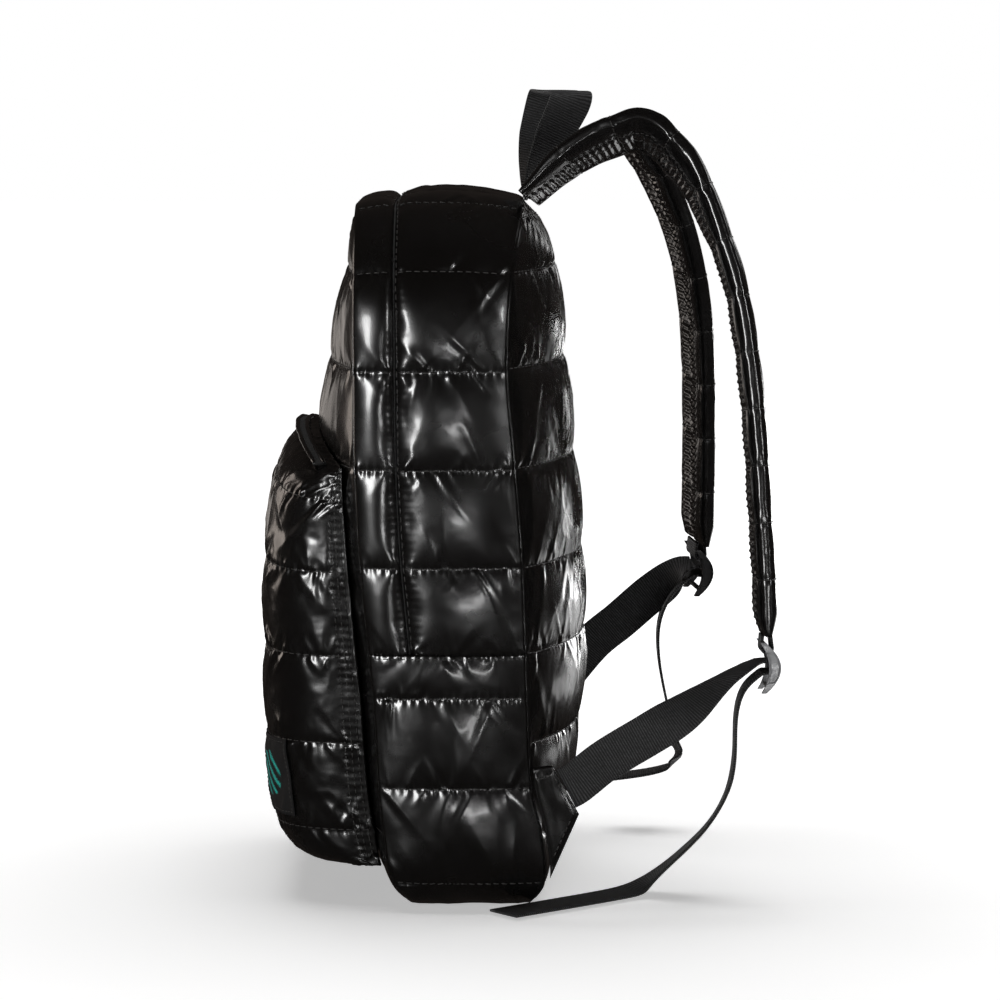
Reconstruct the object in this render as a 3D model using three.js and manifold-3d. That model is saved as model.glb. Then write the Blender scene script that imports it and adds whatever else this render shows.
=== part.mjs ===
// A quilted puffer backpack, standing on its base with its shoulder straps held out behind it.
// Millimetres, +Z up. The origin is the middle of the flat base. -X is the pocket side, +X the strap side, and
// -Y the right side of whoever wears it. The body is hollow: each sewn panel is a padded wall of its own.
import * as THREE from "three";
import { mergeVertices } from "three/addons/utils/BufferGeometryUtils.js";
import Module from "manifold-3d";

const wasm = await Module();
wasm.setup();

// Driving dimensions of the body
const BAG_HEIGHT = 410; // base to the seams of the top
const HALF_WIDTH = 146; // middle to the side, at the base
const TOP_TAPER = 8; // how much further in each side is at the top
const TOP_CORNER_RADIUS = 72;
const BASE_CORNER_RADIUS = 26;
const GUSSET_DEPTH = 98; // front seam to back seam of the side
const FRONT_STRIP_WIDTH = 24; // front seam to the middle of the zip
const FRONT_CROWN = 24; // how far the front panel swells over its seams
const BACK_CROWN = 37; // how far the back panel swells over its seams
const GUSSET_CROWN = 5; // how far the sides swell over their seams
const LOWER_GUSSET_TOP = 151; // the cross seam where the zip ends
const TOP_SEAM_DROP = 7; // top seam to the highest stitched line

// Padded cloth and its seams
const CLOTH_THICKNESS = 3; // the wall where it is stitched flat
const PUFF = 6; // how far a filled channel stands over its stitching
const CHANNEL = 57; // stitched line to stitched line
const SEAM_GAP = 0.3; // between two panels that are sewn together
const SEAT_GAP = 0.5; // between a piece and the faceted cloth that it lies on

// Zips
const ZIP_SLOT = 5; // the slot between the two strips of the gusset
const ZIP_THICKNESS = 1.6;
const ZIP_SINK = 0.8; // how deep the zip lies under the cloth

// Front pocket
const POCKET_HALF_WIDTH = 127;
const POCKET_FOOT = 23; // base to the underside of the pocket
const POCKET_HEIGHT = 235; // underside to the top edge at the sides
const POCKET_ARCH = 19; // how much higher the top edge is in the middle
const POCKET_REACH = 123; // origin to the front of the pocket
const POCKET_PUFF = 5;
const POCKET_ZIP_WIDTH = 8;
const POCKET_ZIP_INSET = 8; // front panel to the near edge of the zip

// Label
const LABEL_WIDTH = 44;
const LABEL_HEIGHT = 46;
const LABEL_FOOT = 50; // base to its lower edge
const LABEL_SIDE = 0.9; // its outer edge, as a share of the pocket's half width
const LABEL_THICKNESS = 1.2;

// Webbing, handle and straps
const WEBBING_WIDTH = 25;
const WEBBING_THICKNESS = 1.6;
const STRAP_SPACING = 128; // middle to middle where the straps are sewn on
const STRAP_REACH = 144; // back seam to the furthest point of the straps
const STRAP_WIDTH = 58;
const STRAP_THICKNESS = 13;
const STRAP_CHANNEL = 34; // stitched line to stitched line along a strap
const STRAP_TO_BAR = 8; // end of a strap to the bar of its adjuster
const HANDLE_SPAN = 42; // leg to leg
const HANDLE_HEIGHT = 64; // over the top of the body
const WING_THICKNESS = 4;
const WING_TOP = 85; // base to the top of the wing on its seam
const WING_FOOT = 19;
const WING_REACH = 27; // seam to the tip

// Strap adjusters
const ADJUSTER_LENGTH = 30;
const ADJUSTER_BOW = 7; // how far its rails bow out
const RAIL_THICKNESS = 5;
const RAIL_WIDTH = 3.5;
const BAR_THICKNESS = 3;
const BAR_CLEARANCE = 0.6; // between a bar and the webbing round it

const vec = (x, y, z) => new THREE.Vector3(x, y, z);
const clamp = (value, low, high) => Math.min(high, Math.max(low, value));
const mix = (a, b, share) => a + (b - a) * share;

// A column of a table as a smooth function: tables hold [place, value, value, ...] rows in rising order of place.
function columnOf(table, column) {
  const slope = (i) => {
    const a = table[Math.max(0, i - 1)];
    const b = table[Math.min(table.length - 1, i + 1)];
    return (b[column] - a[column]) / (b[0] - a[0]);
  };
  return (place) => {
    const at = clamp(place, table[0][0], table[table.length - 1][0]);
    let i = 0;
    while (i < table.length - 2 && at > table[i + 1][0]) i += 1;
    const span = table[i + 1][0] - table[i][0];
    const s = (at - table[i][0]) / span;
    const [h00, h10] = [2 * s ** 3 - 3 * s ** 2 + 1, s ** 3 - 2 * s ** 2 + s];
    const [h01, h11] = [-2 * s ** 3 + 3 * s ** 2, s ** 3 - s ** 2];
    return (
      h00 * table[i][column] + h10 * span * slope(i) + h01 * table[i + 1][column] + h11 * span * slope(i + 1)
    );
  };
}

// Side view of the body, as shares. Columns: height of BAG_HEIGHT; front seam and back seam of GUSSET_DEPTH;
// crown of the front panel of FRONT_CROWN and of the back panel of BACK_CROWN.
const BODY_SECTIONS = [
  [0, -0.3, 0.4, 0, 0],
  [0.04, -0.42, 0.49, 0.3, 0.14],
  [0.11, -0.47, 0.47, 0.6, 0.38],
  [0.18, -0.5, 0.41, 0.8, 0.7],
  [0.3, -0.53, 0.385, 0.95, 0.94],
  [0.5, -0.61, 0.355, 1, 0.98],
  [0.64, -0.64, 0.31, 1, 0.96],
  [0.77, -0.645, 0.265, 0.72, 0.93],
  [0.9, -0.65, 0.29, 0.24, 0.74],
  [0.97, -0.65, 0.34, 0.06, 0.36],
  [1, -0.65, 0.37, 0, 0],
];
const share = (z) => z / BAG_HEIGHT;
const frontSeam = (z) => GUSSET_DEPTH * columnOf(BODY_SECTIONS, 1)(share(z));
const backSeam = (z) => GUSSET_DEPTH * columnOf(BODY_SECTIONS, 2)(share(z));
const frontCrown = (z) => FRONT_CROWN * columnOf(BODY_SECTIONS, 3)(share(z));
const backCrown = (z) => BACK_CROWN * columnOf(BODY_SECTIONS, 4)(share(z));

// Front view of the body: half the width at a height, the way out of the outline there, and the length of cloth
// from the base round to there.
const TOP_ARC_START = BAG_HEIGHT - TOP_CORNER_RADIUS;
const fullHalf = (z) => HALF_WIDTH - TOP_TAPER * share(z);
function halfWidth(z) {
  if (z > TOP_ARC_START) {
    const up = z - TOP_ARC_START;
    return fullHalf(z) - TOP_CORNER_RADIUS + Math.sqrt(Math.max(0, TOP_CORNER_RADIUS ** 2 - up ** 2));
  }
  if (z < BASE_CORNER_RADIUS) {
    const down = BASE_CORNER_RADIUS - z;
    return fullHalf(z) - BASE_CORNER_RADIUS + Math.sqrt(Math.max(0, BASE_CORNER_RADIUS ** 2 - down ** 2));
  }
  return fullHalf(z);
}
function outwardAt(z, side) {
  let lean = 0;
  if (z > TOP_ARC_START) lean = (z - TOP_ARC_START) / TOP_CORNER_RADIUS;
  if (z < BASE_CORNER_RADIUS) lean = (z - BASE_CORNER_RADIUS) / BASE_CORNER_RADIUS;
  return vec(0, side * Math.sqrt(Math.max(0, 1 - lean ** 2)), lean);
}
function girthAt(z) {
  if (z <= TOP_ARC_START) return z;
  return TOP_ARC_START + TOP_CORNER_RADIUS * Math.asin(Math.min(1, (z - TOP_ARC_START) / TOP_CORNER_RADIUS));
}
const TOP_GIRTH = girthAt(BAG_HEIGHT) + halfWidth(BAG_HEIGHT); // base round to the middle of the top

// Stitched lines across the body, by height: below the cross seam of the gusset and above it
const LOW_LINES = [0.11, 0.3, 0.48, 0.65, 0.83, 1].map((part) => part * LOWER_GUSSET_TOP);
const HIGH_LINES = [0.2, 0.43, 0.66, 0.88, 1].map((part) => mix(LOWER_GUSSET_TOP, BAG_HEIGHT - TOP_SEAM_DROP, part));
const [FOOT_LINE, POCKET_FOOT_LINE] = LOW_LINES;
const [, POCKET_TOP_LINE] = HIGH_LINES;
const BACK_SEAMS = [FOOT_LINE, POCKET_FOOT_LINE, LOW_LINES[3], LOWER_GUSSET_TOP, ...HIGH_LINES];
const FRONT_SEAMS = [0, POCKET_FOOT_LINE, ...HIGH_LINES.filter((z) => z >= POCKET_TOP_LINE)];
// and on the gusset, by length of cloth from the base
const GUSSET_SEAMS = [FOOT_LINE, LOW_LINES[2], LOW_LINES[4], LOWER_GUSSET_TOP, HIGH_LINES[0]];
for (let girth = HIGH_LINES[0]; girth + CHANNEL < TOP_GIRTH; ) GUSSET_SEAMS.push((girth += CHANNEL));
GUSSET_SEAMS.push(2 * TOP_GIRTH - GUSSET_SEAMS[GUSSET_SEAMS.length - 1]); // its twin across the top

// How full a channel is, from 0 on its stitching to 1 in its middle
function fullness(place, seams) {
  const above = seams.findIndex((s) => s > place);
  if (above <= 0) return 0;
  const within = (place - seams[above - 1]) / (seams[above] - seams[above - 1]);
  if (seams[above] - seams[above - 1] > 1.5 * CHANNEL) return 0; // plain cloth
  return 1 - Math.abs(2 * within - 1) ** 2.6;
}
const edgeFade = (across) => 1 - Math.abs(across) ** 8;

// Rows of the body's mesh: the stitched lines and two rows in each channel between them
const ROW_SEAMS = [...LOW_LINES, ...HIGH_LINES];
const ROWS = [0, 0.25 * FOOT_LINE, 0.55 * FOOT_LINE];
ROW_SEAMS.slice(0, -1).forEach((low, i) => {
  const span = ROW_SEAMS[i + 1] - low;
  const parts = span > 0.7 * CHANNEL ? [0, 0.22, 0.5, 0.78] : span > 0.48 * CHANNEL ? [0, 0.3, 0.7] : [0, 0.5];
  parts.forEach((part) => ROWS.push(low + part * span));
});
ROWS.push(BAG_HEIGHT - TOP_SEAM_DROP, BAG_HEIGHT - 0.2 * TOP_SEAM_DROP, BAG_HEIGHT);
const COLUMNS = [-1, -0.9, -0.7, -0.45, -0.2, 0, 0.2, 0.45, 0.7, 0.9, 1];
const ROW_TOP = ROWS.length - 1;

// A closed slab between an outer and an inner net of points, both as rows of equal length
function slab(outer, inner) {
  const [rows, columns] = [outer.length, outer[0].length];
  const positions = [...outer.flat(), ...inner.flat()].flatMap((p) => [p.x, p.y, p.z]);
  const index = [];
  const at = (layer, i, j) => layer * rows * columns + i * columns + j;
  const quad = (a, b, c, d) => index.push(a, b, c, a, c, d);
  for (let i = 0; i < rows - 1; i += 1) {
    for (let j = 0; j < columns - 1; j += 1) {
      quad(at(0, i, j), at(0, i, j + 1), at(0, i + 1, j + 1), at(0, i + 1, j));
      quad(at(1, i, j), at(1, i + 1, j), at(1, i + 1, j + 1), at(1, i, j + 1));
    }
  }
  for (let i = 0; i < rows - 1; i += 1) {
    quad(at(0, i, 0), at(0, i + 1, 0), at(1, i + 1, 0), at(1, i, 0));
    quad(at(0, i, columns - 1), at(1, i, columns - 1), at(1, i + 1, columns - 1), at(0, i + 1, columns - 1));
  }
  for (let j = 0; j < columns - 1; j += 1) {
    quad(at(0, 0, j), at(1, 0, j), at(1, 0, j + 1), at(0, 0, j + 1));
    quad(at(0, rows - 1, j), at(0, rows - 1, j + 1), at(1, rows - 1, j + 1), at(1, rows - 1, j));
  }
  return facingOut(positions, index);
}

// A mesh from positions and triangles, turned so that its faces point out
function facingOut(positions, index) {
  const corner = (k) => vec(...positions.slice(3 * index[k], 3 * index[k] + 3));
  let volume = 0;
  for (let k = 0; k < index.length; k += 3) volume += corner(k).dot(corner(k + 1).cross(corner(k + 2)));
  if (volume < 0) for (let k = 0; k < index.length; k += 3) [index[k], index[k + 1]] = [index[k + 1], index[k]];
  const geometry = new THREE.BufferGeometry();
  geometry.setAttribute("position", new THREE.Float32BufferAttribute(positions, 3));
  geometry.setIndex(index);
  return geometry;
}

const material = (color, roughness) => new THREE.MeshStandardMaterial({ color, roughness, metalness: 0 });
const PUFFER = material(0x0b0b0c, 0.28);
const WEBBING = material(0x101011, 0.85);
const ZIP = material(0x0d0d0e, 0.6);
const PLASTIC = material(0x1a1b1d, 0.35);
const LABEL = material(0x121314, 0.9);

const backpack = new THREE.Group();
function add(name, geometry, surface) {
  const mesh = new THREE.Mesh(geometry, surface);
  mesh.name = name;
  backpack.add(mesh);
  return mesh;
}

// Front and back panels. facing is -1 for the front and +1 for the back.
function bodyPanel(facing, seamAt, crownAt, seams) {
  const outer = [];
  const inner = [];
  ROWS.forEach((z, i) => {
    outer.push([]);
    inner.push([]);
    COLUMNS.forEach((across, j) => {
      const rim = i === 0 || i === ROW_TOP || j === 0 || j === COLUMNS.length - 1;
      const crown = crownAt(z) * (1 - Math.abs(across) ** 2.3);
      const swell = rim ? 0 : crown + PUFF * fullness(z, seams) * edgeFade(across);
      const seam = vec(seamAt(z), across * halfWidth(z), z);
      const out = i === 0 ? vec(0, 0, -1) : i === ROW_TOP ? vec(0, 0, 1) : outwardAt(z, Math.sign(across));
      const mitre = vec(-facing, 0, 0).add(out);
      const apart = rim ? mitre.clone().multiplyScalar(-SEAM_GAP / 2 / Math.SQRT2) : vec(0, 0, 0);
      const skin = seam.clone().add(vec(facing * swell, 0, 0));
      const depth = rim
        ? vec(-facing, 0, 0).sub(out).multiplyScalar(CLOTH_THICKNESS)
        : vec(-facing * (CLOTH_THICKNESS + swell - crown), 0, 0);
      outer[i].push(skin.clone().add(apart));
      inner[i].push(skin.clone().add(apart).add(depth));
    });
  });
  return slab(outer, inner);
}
const frontPanel = add("front_panel", bodyPanel(-1, frontSeam, frontCrown, FRONT_SEAMS), PUFFER);
const backPanel = add("back_panel", bodyPanel(1, backSeam, backCrown, BACK_SEAMS), PUFFER);

// Stations round the gusset, from one end to the other over the top (upper) or under the base (lower)
function stations(upper) {
  const within = (z) => (upper ? z >= LOWER_GUSSET_TOP : z <= LOWER_GUSSET_TOP);
  const sideRows = ROWS.filter(within);
  if (!upper) sideRows.reverse();
  const level = sideRows[sideRows.length - 1];
  const up = (side) => sideRows.map((z) => ({ y: side * halfWidth(z), z, out: outwardAt(z, side), girth: girthAt(z) }));
  const across = COLUMNS.slice(1, -1).map((u) => ({
    y: u * halfWidth(level),
    z: level,
    out: vec(0, 0, upper ? 1 : -1),
    girth: upper ? girthAt(level) + halfWidth(level) * (1 - Math.abs(u)) : 0,
  }));
  const first = up(-1);
  const last = up(1).reverse();
  // The two ends stop short of the cross seam by half its gap.
  const short = (upper ? 1 : -1) * (SEAM_GAP / 2);
  first[0].z += short;
  last[last.length - 1].z += short;
  return [...first, ...across, ...last];
}

// One strip of the gusset between two lines, each given as a function of height. shares are the places of its
// columns from line to line. A line that is a body seam is mitred against the panel there.
function gussetStrip(upper, startAt, endAt, shares, startIsSeam, endIsSeam) {
  const outer = [];
  const inner = [];
  stations(upper).forEach(({ y, z, out, girth }) => {
    const steady = upper ? 1 : clamp(z / BASE_CORNER_RADIUS, 0, 1) ** 2; // the base stays flat
    const outerRow = [];
    const innerRow = [];
    shares.forEach((place, j) => {
      const first = j === 0;
      const last = j === shares.length - 1;
      const x = mix(startAt(z), endAt(z), place);
      const depthShare = (x - frontSeam(z)) / (backSeam(z) - frontSeam(z));
      const crown = steady * GUSSET_CROWN * Math.max(0, 1 - Math.abs(2 * depthShare - 1) ** 2.4);
      const swell = first || last ? 0 : PUFF * steady * fullness(girth, GUSSET_SEAMS) * edgeFade(2 * place - 1);
      const skin = vec(x, y, z).addScaledVector(out, crown + swell);
      let depth = out.clone().multiplyScalar(-CLOTH_THICKNESS - swell);
      if ((first && startIsSeam) || (last && endIsSeam)) {
        const inwards = vec(first ? 1 : -1, 0, 0);
        skin.addScaledVector(inwards.clone().add(out), SEAM_GAP / 2 / Math.SQRT2);
        depth = inwards.sub(out).multiplyScalar(CLOTH_THICKNESS);
      }
      outerRow.push(skin);
      innerRow.push(skin.clone().add(depth));
    });
    outer.push(outerRow);
    inner.push(innerRow);
  });
  return slab(outer, inner);
}
const zipLine = (z) => frontSeam(z) + FRONT_STRIP_WIDTH;
const frontStripEdge = (z) => zipLine(z) - ZIP_SLOT / 2;
const rearStripEdge = (z) => zipLine(z) + ZIP_SLOT / 2;
add("gusset_front_strip", gussetStrip(true, frontSeam, frontStripEdge, [0, 0.3, 0.7, 1], true, false), PUFFER);
add("gusset_rear_strip", gussetStrip(true, rearStripEdge, backSeam, [0, 0.14, 0.5, 0.86, 1], false, true), PUFFER);
add("lower_gusset", gussetStrip(false, frontSeam, backSeam, [0, 0.12, 0.38, 0.62, 0.88, 1], true, true), PUFFER);

// The main zip, a flat band sunk in the slot between the two strips
function mainZip() {
  const outer = [];
  const inner = [];
  stations(true).forEach(({ y, z, out }) => {
    const depthShare = FRONT_STRIP_WIDTH / (backSeam(z) - frontSeam(z));
    const crown = GUSSET_CROWN * Math.max(0, 1 - Math.abs(2 * depthShare - 1) ** 2.4);
    const half = ZIP_SLOT / 2 - SEAM_GAP;
    const edge = (side, sink) => vec(zipLine(z) + side * half, y, z).addScaledVector(out, crown - sink);
    outer.push([edge(-1, ZIP_SINK), edge(1, ZIP_SINK)]);
    inner.push([edge(-1, ZIP_SINK + ZIP_THICKNESS), edge(1, ZIP_SINK + ZIP_THICKNESS)]);
  });
  return slab(outer, inner);
}
add("main_zip", mainZip(), ZIP);

// Where a line meets the outer face of a mesh, starting far out at the point and going the way given
function skinAlong(mesh, from, way) {
  mesh.updateMatrixWorld();
  mesh.material.side = THREE.DoubleSide;
  const hit = new THREE.Raycaster(from, way).intersectObject(mesh)[0];
  mesh.material.side = THREE.FrontSide;
  return hit ? hit.point : null;
}
// The foremost (least) X of a mesh near a place, so that a facet laid there clears the facets of the mesh
function foremostX(mesh, y, z, reach) {
  let foremost = Infinity;
  for (const dy of [-reach, 0, reach]) {
    for (const dz of [-reach, 0, reach]) {
      const hit = skinAlong(mesh, vec(-1000, y + dy, z + dz), vec(1, 0, 0));
      if (hit) foremost = Math.min(foremost, hit.x);
    }
  }
  return foremost;
}

// Side view of the front pocket, as shares. Columns: row; depth from the front panel to the pocket's front;
// height of POCKET_HEIGHT. The first row is the rim on the panel under the pocket, the last the rim at its zip.
const POCKET_PROFILE = [
  [0, 0, 0.03],
  [1, 0.42, 0],
  [2, 0.74, 0.015],
  [3, 0.84, 0.05],
  [4, 0.9, 0.09],
  [5, 0.95, 0.2],
  [6, 0.985, 0.31],
  [7, 1, 0.42],
  [8, 1, 0.53],
  [9, 1, 0.64],
  [10, 0.99, 0.74],
  [11, 0.91, 0.83],
  [12, 0.8, 0.92],
  [13, 0.45, 0.975],
  [14, 0, 1],
];
const POCKET_SEAM_ROWS = [0, 4, 6, 8, 10, 12, 14];
const POCKET_COLUMNS = [-1, -0.985, -0.93, -0.75, -0.4, 0, 0.4, 0.75, 0.93, 0.985, 1];

function pocketShell() {
  const outer = [];
  const inner = [];
  const rows = POCKET_PROFILE.length;
  POCKET_PROFILE.forEach(([, depthShare, heightShare], row) => {
    outer.push([]);
    inner.push([]);
    POCKET_COLUMNS.forEach((across) => {
      const arch = POCKET_ARCH * (1 - across ** 2) * heightShare ** 3;
      const z = POCKET_FOOT + POCKET_HEIGHT * heightShare + arch;
      const y = across * POCKET_HALF_WIDTH * mix(1, 0.985, Math.abs(2 * heightShare - 1) ** 3);
      const base = foremostX(frontPanel, y, z, 2.5) - SEAT_GAP;
      const wall = Math.sqrt(Math.max(0, 1 - Math.abs(across) ** 7));
      const zipRise = row === rows - 1 ? POCKET_ZIP_WIDTH * clamp(8 * (1 - Math.abs(across)), 0, 1) : 0;
      const soft = Math.abs(across) < 0.98 && row > 0 && row < rows - 1;
      const puff = soft ? POCKET_PUFF * fullness(row, POCKET_SEAM_ROWS) * edgeFade(across) : 0;
      const x = mix(base, -POCKET_REACH + POCKET_PUFF, depthShare * wall) - zipRise - puff;
      outer[row].push(vec(x, y, z));
    });
  });
  // The inner net is the outer one moved in, towards the middle of the pocket, and kept off the front panel.
  outer.forEach((points, row) => {
    points.forEach((p, j) => {
      const across = POCKET_COLUMNS[j];
      const inward = vec(0, -across * CLOTH_THICKNESS * 1.1, 0);
      const upward = row < 5 ? 1 - row / 5 : row > rows - 4 ? -(row - rows + 4) / 3 : 0;
      inward.z = CLOTH_THICKNESS * 1.1 * upward;
      const moved = p.clone().add(inward);
      const base = foremostX(frontPanel, moved.y, moved.z, 2.5) - SEAT_GAP;
      moved.x = Math.min(base, p.x + CLOTH_THICKNESS * 1.1);
      inner[row].push(moved);
    });
  });
  return slab(outer, inner);
}
const pocket = add("front_pocket", pocketShell(), PUFFER);

// The pocket's zip, a band across the top of the pocket close to the front panel
function pocketZip() {
  const outer = [];
  const inner = [];
  for (let i = 0; i <= 10; i += 1) {
    const y = mix(-1, 1, i / 10) * POCKET_HALF_WIDTH * 0.82;
    outer.push([]);
    inner.push([]);
    for (const back of [POCKET_ZIP_INSET + POCKET_ZIP_WIDTH, POCKET_ZIP_INSET]) {
      const x = foremostX(frontPanel, y, POCKET_FOOT + POCKET_HEIGHT, 6) - back;
      let top = -Infinity;
      for (const dx of [-4, -2, 0, 2, 4]) {
        for (const dy of [-12, -6, 0, 6, 12]) {
          const hit = skinAlong(pocket, vec(x + dx, y + dy, 1000), vec(0, 0, -1));
          if (hit) top = Math.max(top, hit.z);
        }
      }
      outer[i].push(vec(x, y, top + 2 * SEAT_GAP + ZIP_THICKNESS));
      inner[i].push(vec(x, y, top + 2 * SEAT_GAP));
    }
  }
  return slab(outer, inner);
}
add("pocket_zip", pocketZip(), ZIP);

// The woven label, on the lower right corner of the pocket's front
function label() {
  const outer = [];
  const inner = [];
  for (let i = 0; i <= 3; i += 1) {
    const z = LABEL_FOOT + (LABEL_HEIGHT * i) / 3;
    outer.push([]);
    inner.push([]);
    for (let j = 0; j <= 4; j += 1) {
      const y = -LABEL_SIDE * POCKET_HALF_WIDTH + (LABEL_WIDTH * j) / 4;
      const x = foremostX(pocket, y, z, 7) - SEAT_GAP;
      outer[i].push(vec(x - LABEL_THICKNESS, y, z));
      inner[i].push(vec(x, y, z));
    }
  }
  return slab(outer, inner);
}
add("pocket_label", label(), LABEL);

// A flat band of webbing along a run of places, each { point, width } with the way its width lies
function ribbon(run, breadth, thickness) {
  const outer = [];
  const inner = [];
  run.forEach(({ point, width }, i) => {
    const ahead = run[Math.min(run.length - 1, i + 1)].point;
    const behind = run[Math.max(0, i - 1)].point;
    const along = ahead.clone().sub(behind).normalize();
    const wide = width.clone().addScaledVector(along, -width.dot(along)).normalize();
    const face = along.clone().cross(wide).normalize();
    const place = (w, t) => point.clone().addScaledVector(wide, w).addScaledVector(face, t);
    outer.push([place(-breadth / 2, thickness / 2), place(breadth / 2, thickness / 2)]);
    inner.push([place(-breadth / 2, -thickness / 2), place(breadth / 2, -thickness / 2)]);
  });
  return slab(outer, inner);
}

// Wing tabs, sewn into the back seams at the foot of the body. The corners of the edge that holds the webbing, as
// shares of WING_REACH behind the seam and of the height from WING_FOOT to WING_TOP. The left one is pulled up.
const WING_CORNERS = {
  right: [[0.42, 1.015], [1, 0.58]],
  left: [[0.1, 1.12], [0.78, 0.84]],
};
function wing(name, side) {
  const seamTop = WING_TOP;
  const seamFoot = WING_FOOT;
  const y = side * (fullHalf(WING_TOP) + 2);
  const seamX = (z) => backSeam(z) + 1.9;
  const outline = [
    [seamX(seamTop), seamTop],
    ...WING_CORNERS[name].map(([reach, up]) => [seamX(seamTop) + WING_REACH * reach, mix(seamFoot, seamTop, up)]),
    [seamX(seamFoot) + 1, seamFoot],
    [seamX(mix(seamFoot, seamTop, 0.5)), mix(seamFoot, seamTop, 0.5)],
  ];
  const shape = new THREE.Shape(outline.map(([x, z]) => new THREE.Vector2(x, z)));
  const geometry = new THREE.ExtrudeGeometry(shape, { depth: WING_THICKNESS, bevelEnabled: false, steps: 1 });
  const turned = new THREE.Matrix4().makeBasis(vec(1, 0, 0), vec(0, 0, 1), vec(0, -side, 0));
  geometry.applyMatrix4(turned);
  geometry.translate(0, y, 0);
  const index = [];
  const merged = mergeVertices(new THREE.BufferGeometry().setAttribute("position", geometry.getAttribute("position")));
  index.push(...merged.getIndex().array);
  return {
    geometry: facingOut([...merged.getAttribute("position").array], index),
    edge: vec(
      (outline[1][0] + outline[2][0]) / 2,
      y - (side * WING_THICKNESS) / 2,
      (outline[1][1] + outline[2][1]) / 2,
    ),
    edgeWay: vec(outline[1][0] - outline[2][0], 0, outline[1][1] - outline[2][1]).normalize(),
  };
}
const wings = { right: wing("right", -1), left: wing("left", 1) };
add("wing_tab_right", wings.right.geometry, PUFFER);
add("wing_tab_left", wings.left.geometry, PUFFER);

// Where the straps run, as shares. Columns: step; reach behind the back seam of STRAP_REACH; height of BAG_HEIGHT;
// sideways drift of STRAP_FLARE. The two hang differently.
const STRAP_PATHS = {
  right: [
    [0, 0.02, 1.0085, 0],
    [1, 0.148, 1.053, 0.02],
    [2, 0.278, 1.084, 0.06],
    [3, 0.391, 1.1, 0.1],
    [4, 0.472, 1.108, 0.14],
    [5, 0.54, 1.1, 0.18],
    [6, 0.602, 1.078, 0.23],
    [7, 0.673, 1.05, 0.3],
    [8, 0.735, 1.008, 0.38],
    [9, 0.796, 0.958, 0.46],
    [10, 0.857, 0.9, 0.55],
    [11, 0.91, 0.8, 0.66],
    [12, 0.945, 0.69, 0.77],
    [13, 0.966, 0.575, 0.87],
    [14, 0.985, 0.47, 0.95],
    [15, 0.992, 0.385, 1],
  ],
  left: [
    [0, 0.02, 1.0085, 0],
    [1, 0.18, 1.062, 0.02],
    [2, 0.333, 1.1, 0.08],
    [3, 0.463, 1.092, 0.16],
    [4, 0.55, 1.052, 0.26],
    [5, 0.628, 0.998, 0.38],
    [6, 0.696, 0.936, 0.5],
    [7, 0.745, 0.86, 0.62],
    [8, 0.772, 0.77, 0.74],
    [9, 0.782, 0.65, 0.86],
    [10, 0.782, 0.54, 0.95],
    [11, 0.778, 0.462, 1],
  ],
};
const STRAP_SIDES = {
  right: { side: -1, turn: 1, roll: 22, flare: 38 },
  left: { side: 1, turn: 11, roll: 6, flare: 50 },
};

function strapRun(name) {
  const path = STRAP_PATHS[name];
  const { side, turn, roll, flare } = STRAP_SIDES[name];
  const points = path.map(([, reach, height, drift]) =>
    vec(backSeam(BAG_HEIGHT) + STRAP_REACH * reach, side * (STRAP_SPACING / 2 + flare * drift), BAG_HEIGHT * height),
  );
  const curve = new THREE.CatmullRomCurve3(points);
  curve.arcLengthDivisions = 400;
  const length = curve.getLength();
  const [turned, rolled] = [turn, roll].map(THREE.MathUtils.degToRad);
  const widthAt = (stop) => {
    const rolling = 1 - THREE.MathUtils.smoothstep(stop, 0.28, 0.5);
    return vec(-Math.sin(turned), Math.cos(turned), -Math.sin(rolled) * rolling).normalize();
  };
  return { curve, length, widthAt };
}

function strapPad({ curve, length, widthAt }) {
  const channels = Math.round(length / STRAP_CHANNEL);
  const rings = [];
  const section = [
    [1, 0],
    [0.88, 0.86],
    [0, 1],
    [-0.88, 0.86],
    [-1, 0],
    [-0.88, -0.86],
    [0, -1],
    [0.88, -0.86],
  ];
  const stops = [];
  for (let i = 0; i < channels; i += 1) [0, 0.26, 0.74].forEach((part) => stops.push((i + part) / channels));
  stops.push(1);
  stops.forEach((stop) => {
    const point = curve.getPointAt(stop);
    const along = curve.getTangentAt(stop);
    const width = widthAt(stop);
    const wide = width.clone().addScaledVector(along, -width.dot(along)).normalize();
    const face = along.clone().cross(wide).normalize();
    const stitched = Math.abs(stop * channels - Math.round(stop * channels)) < 1e-6;
    const start = clamp((stop * length) / 30, 0, 1);
    const end = clamp(((1 - stop) * length) / 12, 0, 1);
    const thick = (STRAP_THICKNESS / 2) * (stitched ? 0.72 : 1) * mix(0.4, 1, Math.min(start, end));
    rings.push(section.map(([w, t]) =>
      point.clone().addScaledVector(wide, (w * STRAP_WIDTH) / 2).addScaledVector(face, t * thick),
    ));
  });
  return tube(rings);
}

// A closed solid through rings of points, with flat ends
function tube(rings) {
  const count = rings[0].length;
  const positions = rings.flat().flatMap((p) => [p.x, p.y, p.z]);
  const index = [];
  for (let i = 0; i < rings.length - 1; i += 1) {
    for (let j = 0; j < count; j += 1) {
      const k = (j + 1) % count;
      const [a, b, c, d] = [i * count + j, i * count + k, (i + 1) * count + k, (i + 1) * count + j];
      index.push(a, b, c, a, c, d);
    }
  }
  const last = (rings.length - 1) * count;
  for (let j = 1; j < count - 1; j += 1) index.push(0, j + 1, j, last, last + j, last + j + 1);
  return facingOut(positions, index);
}

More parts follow.
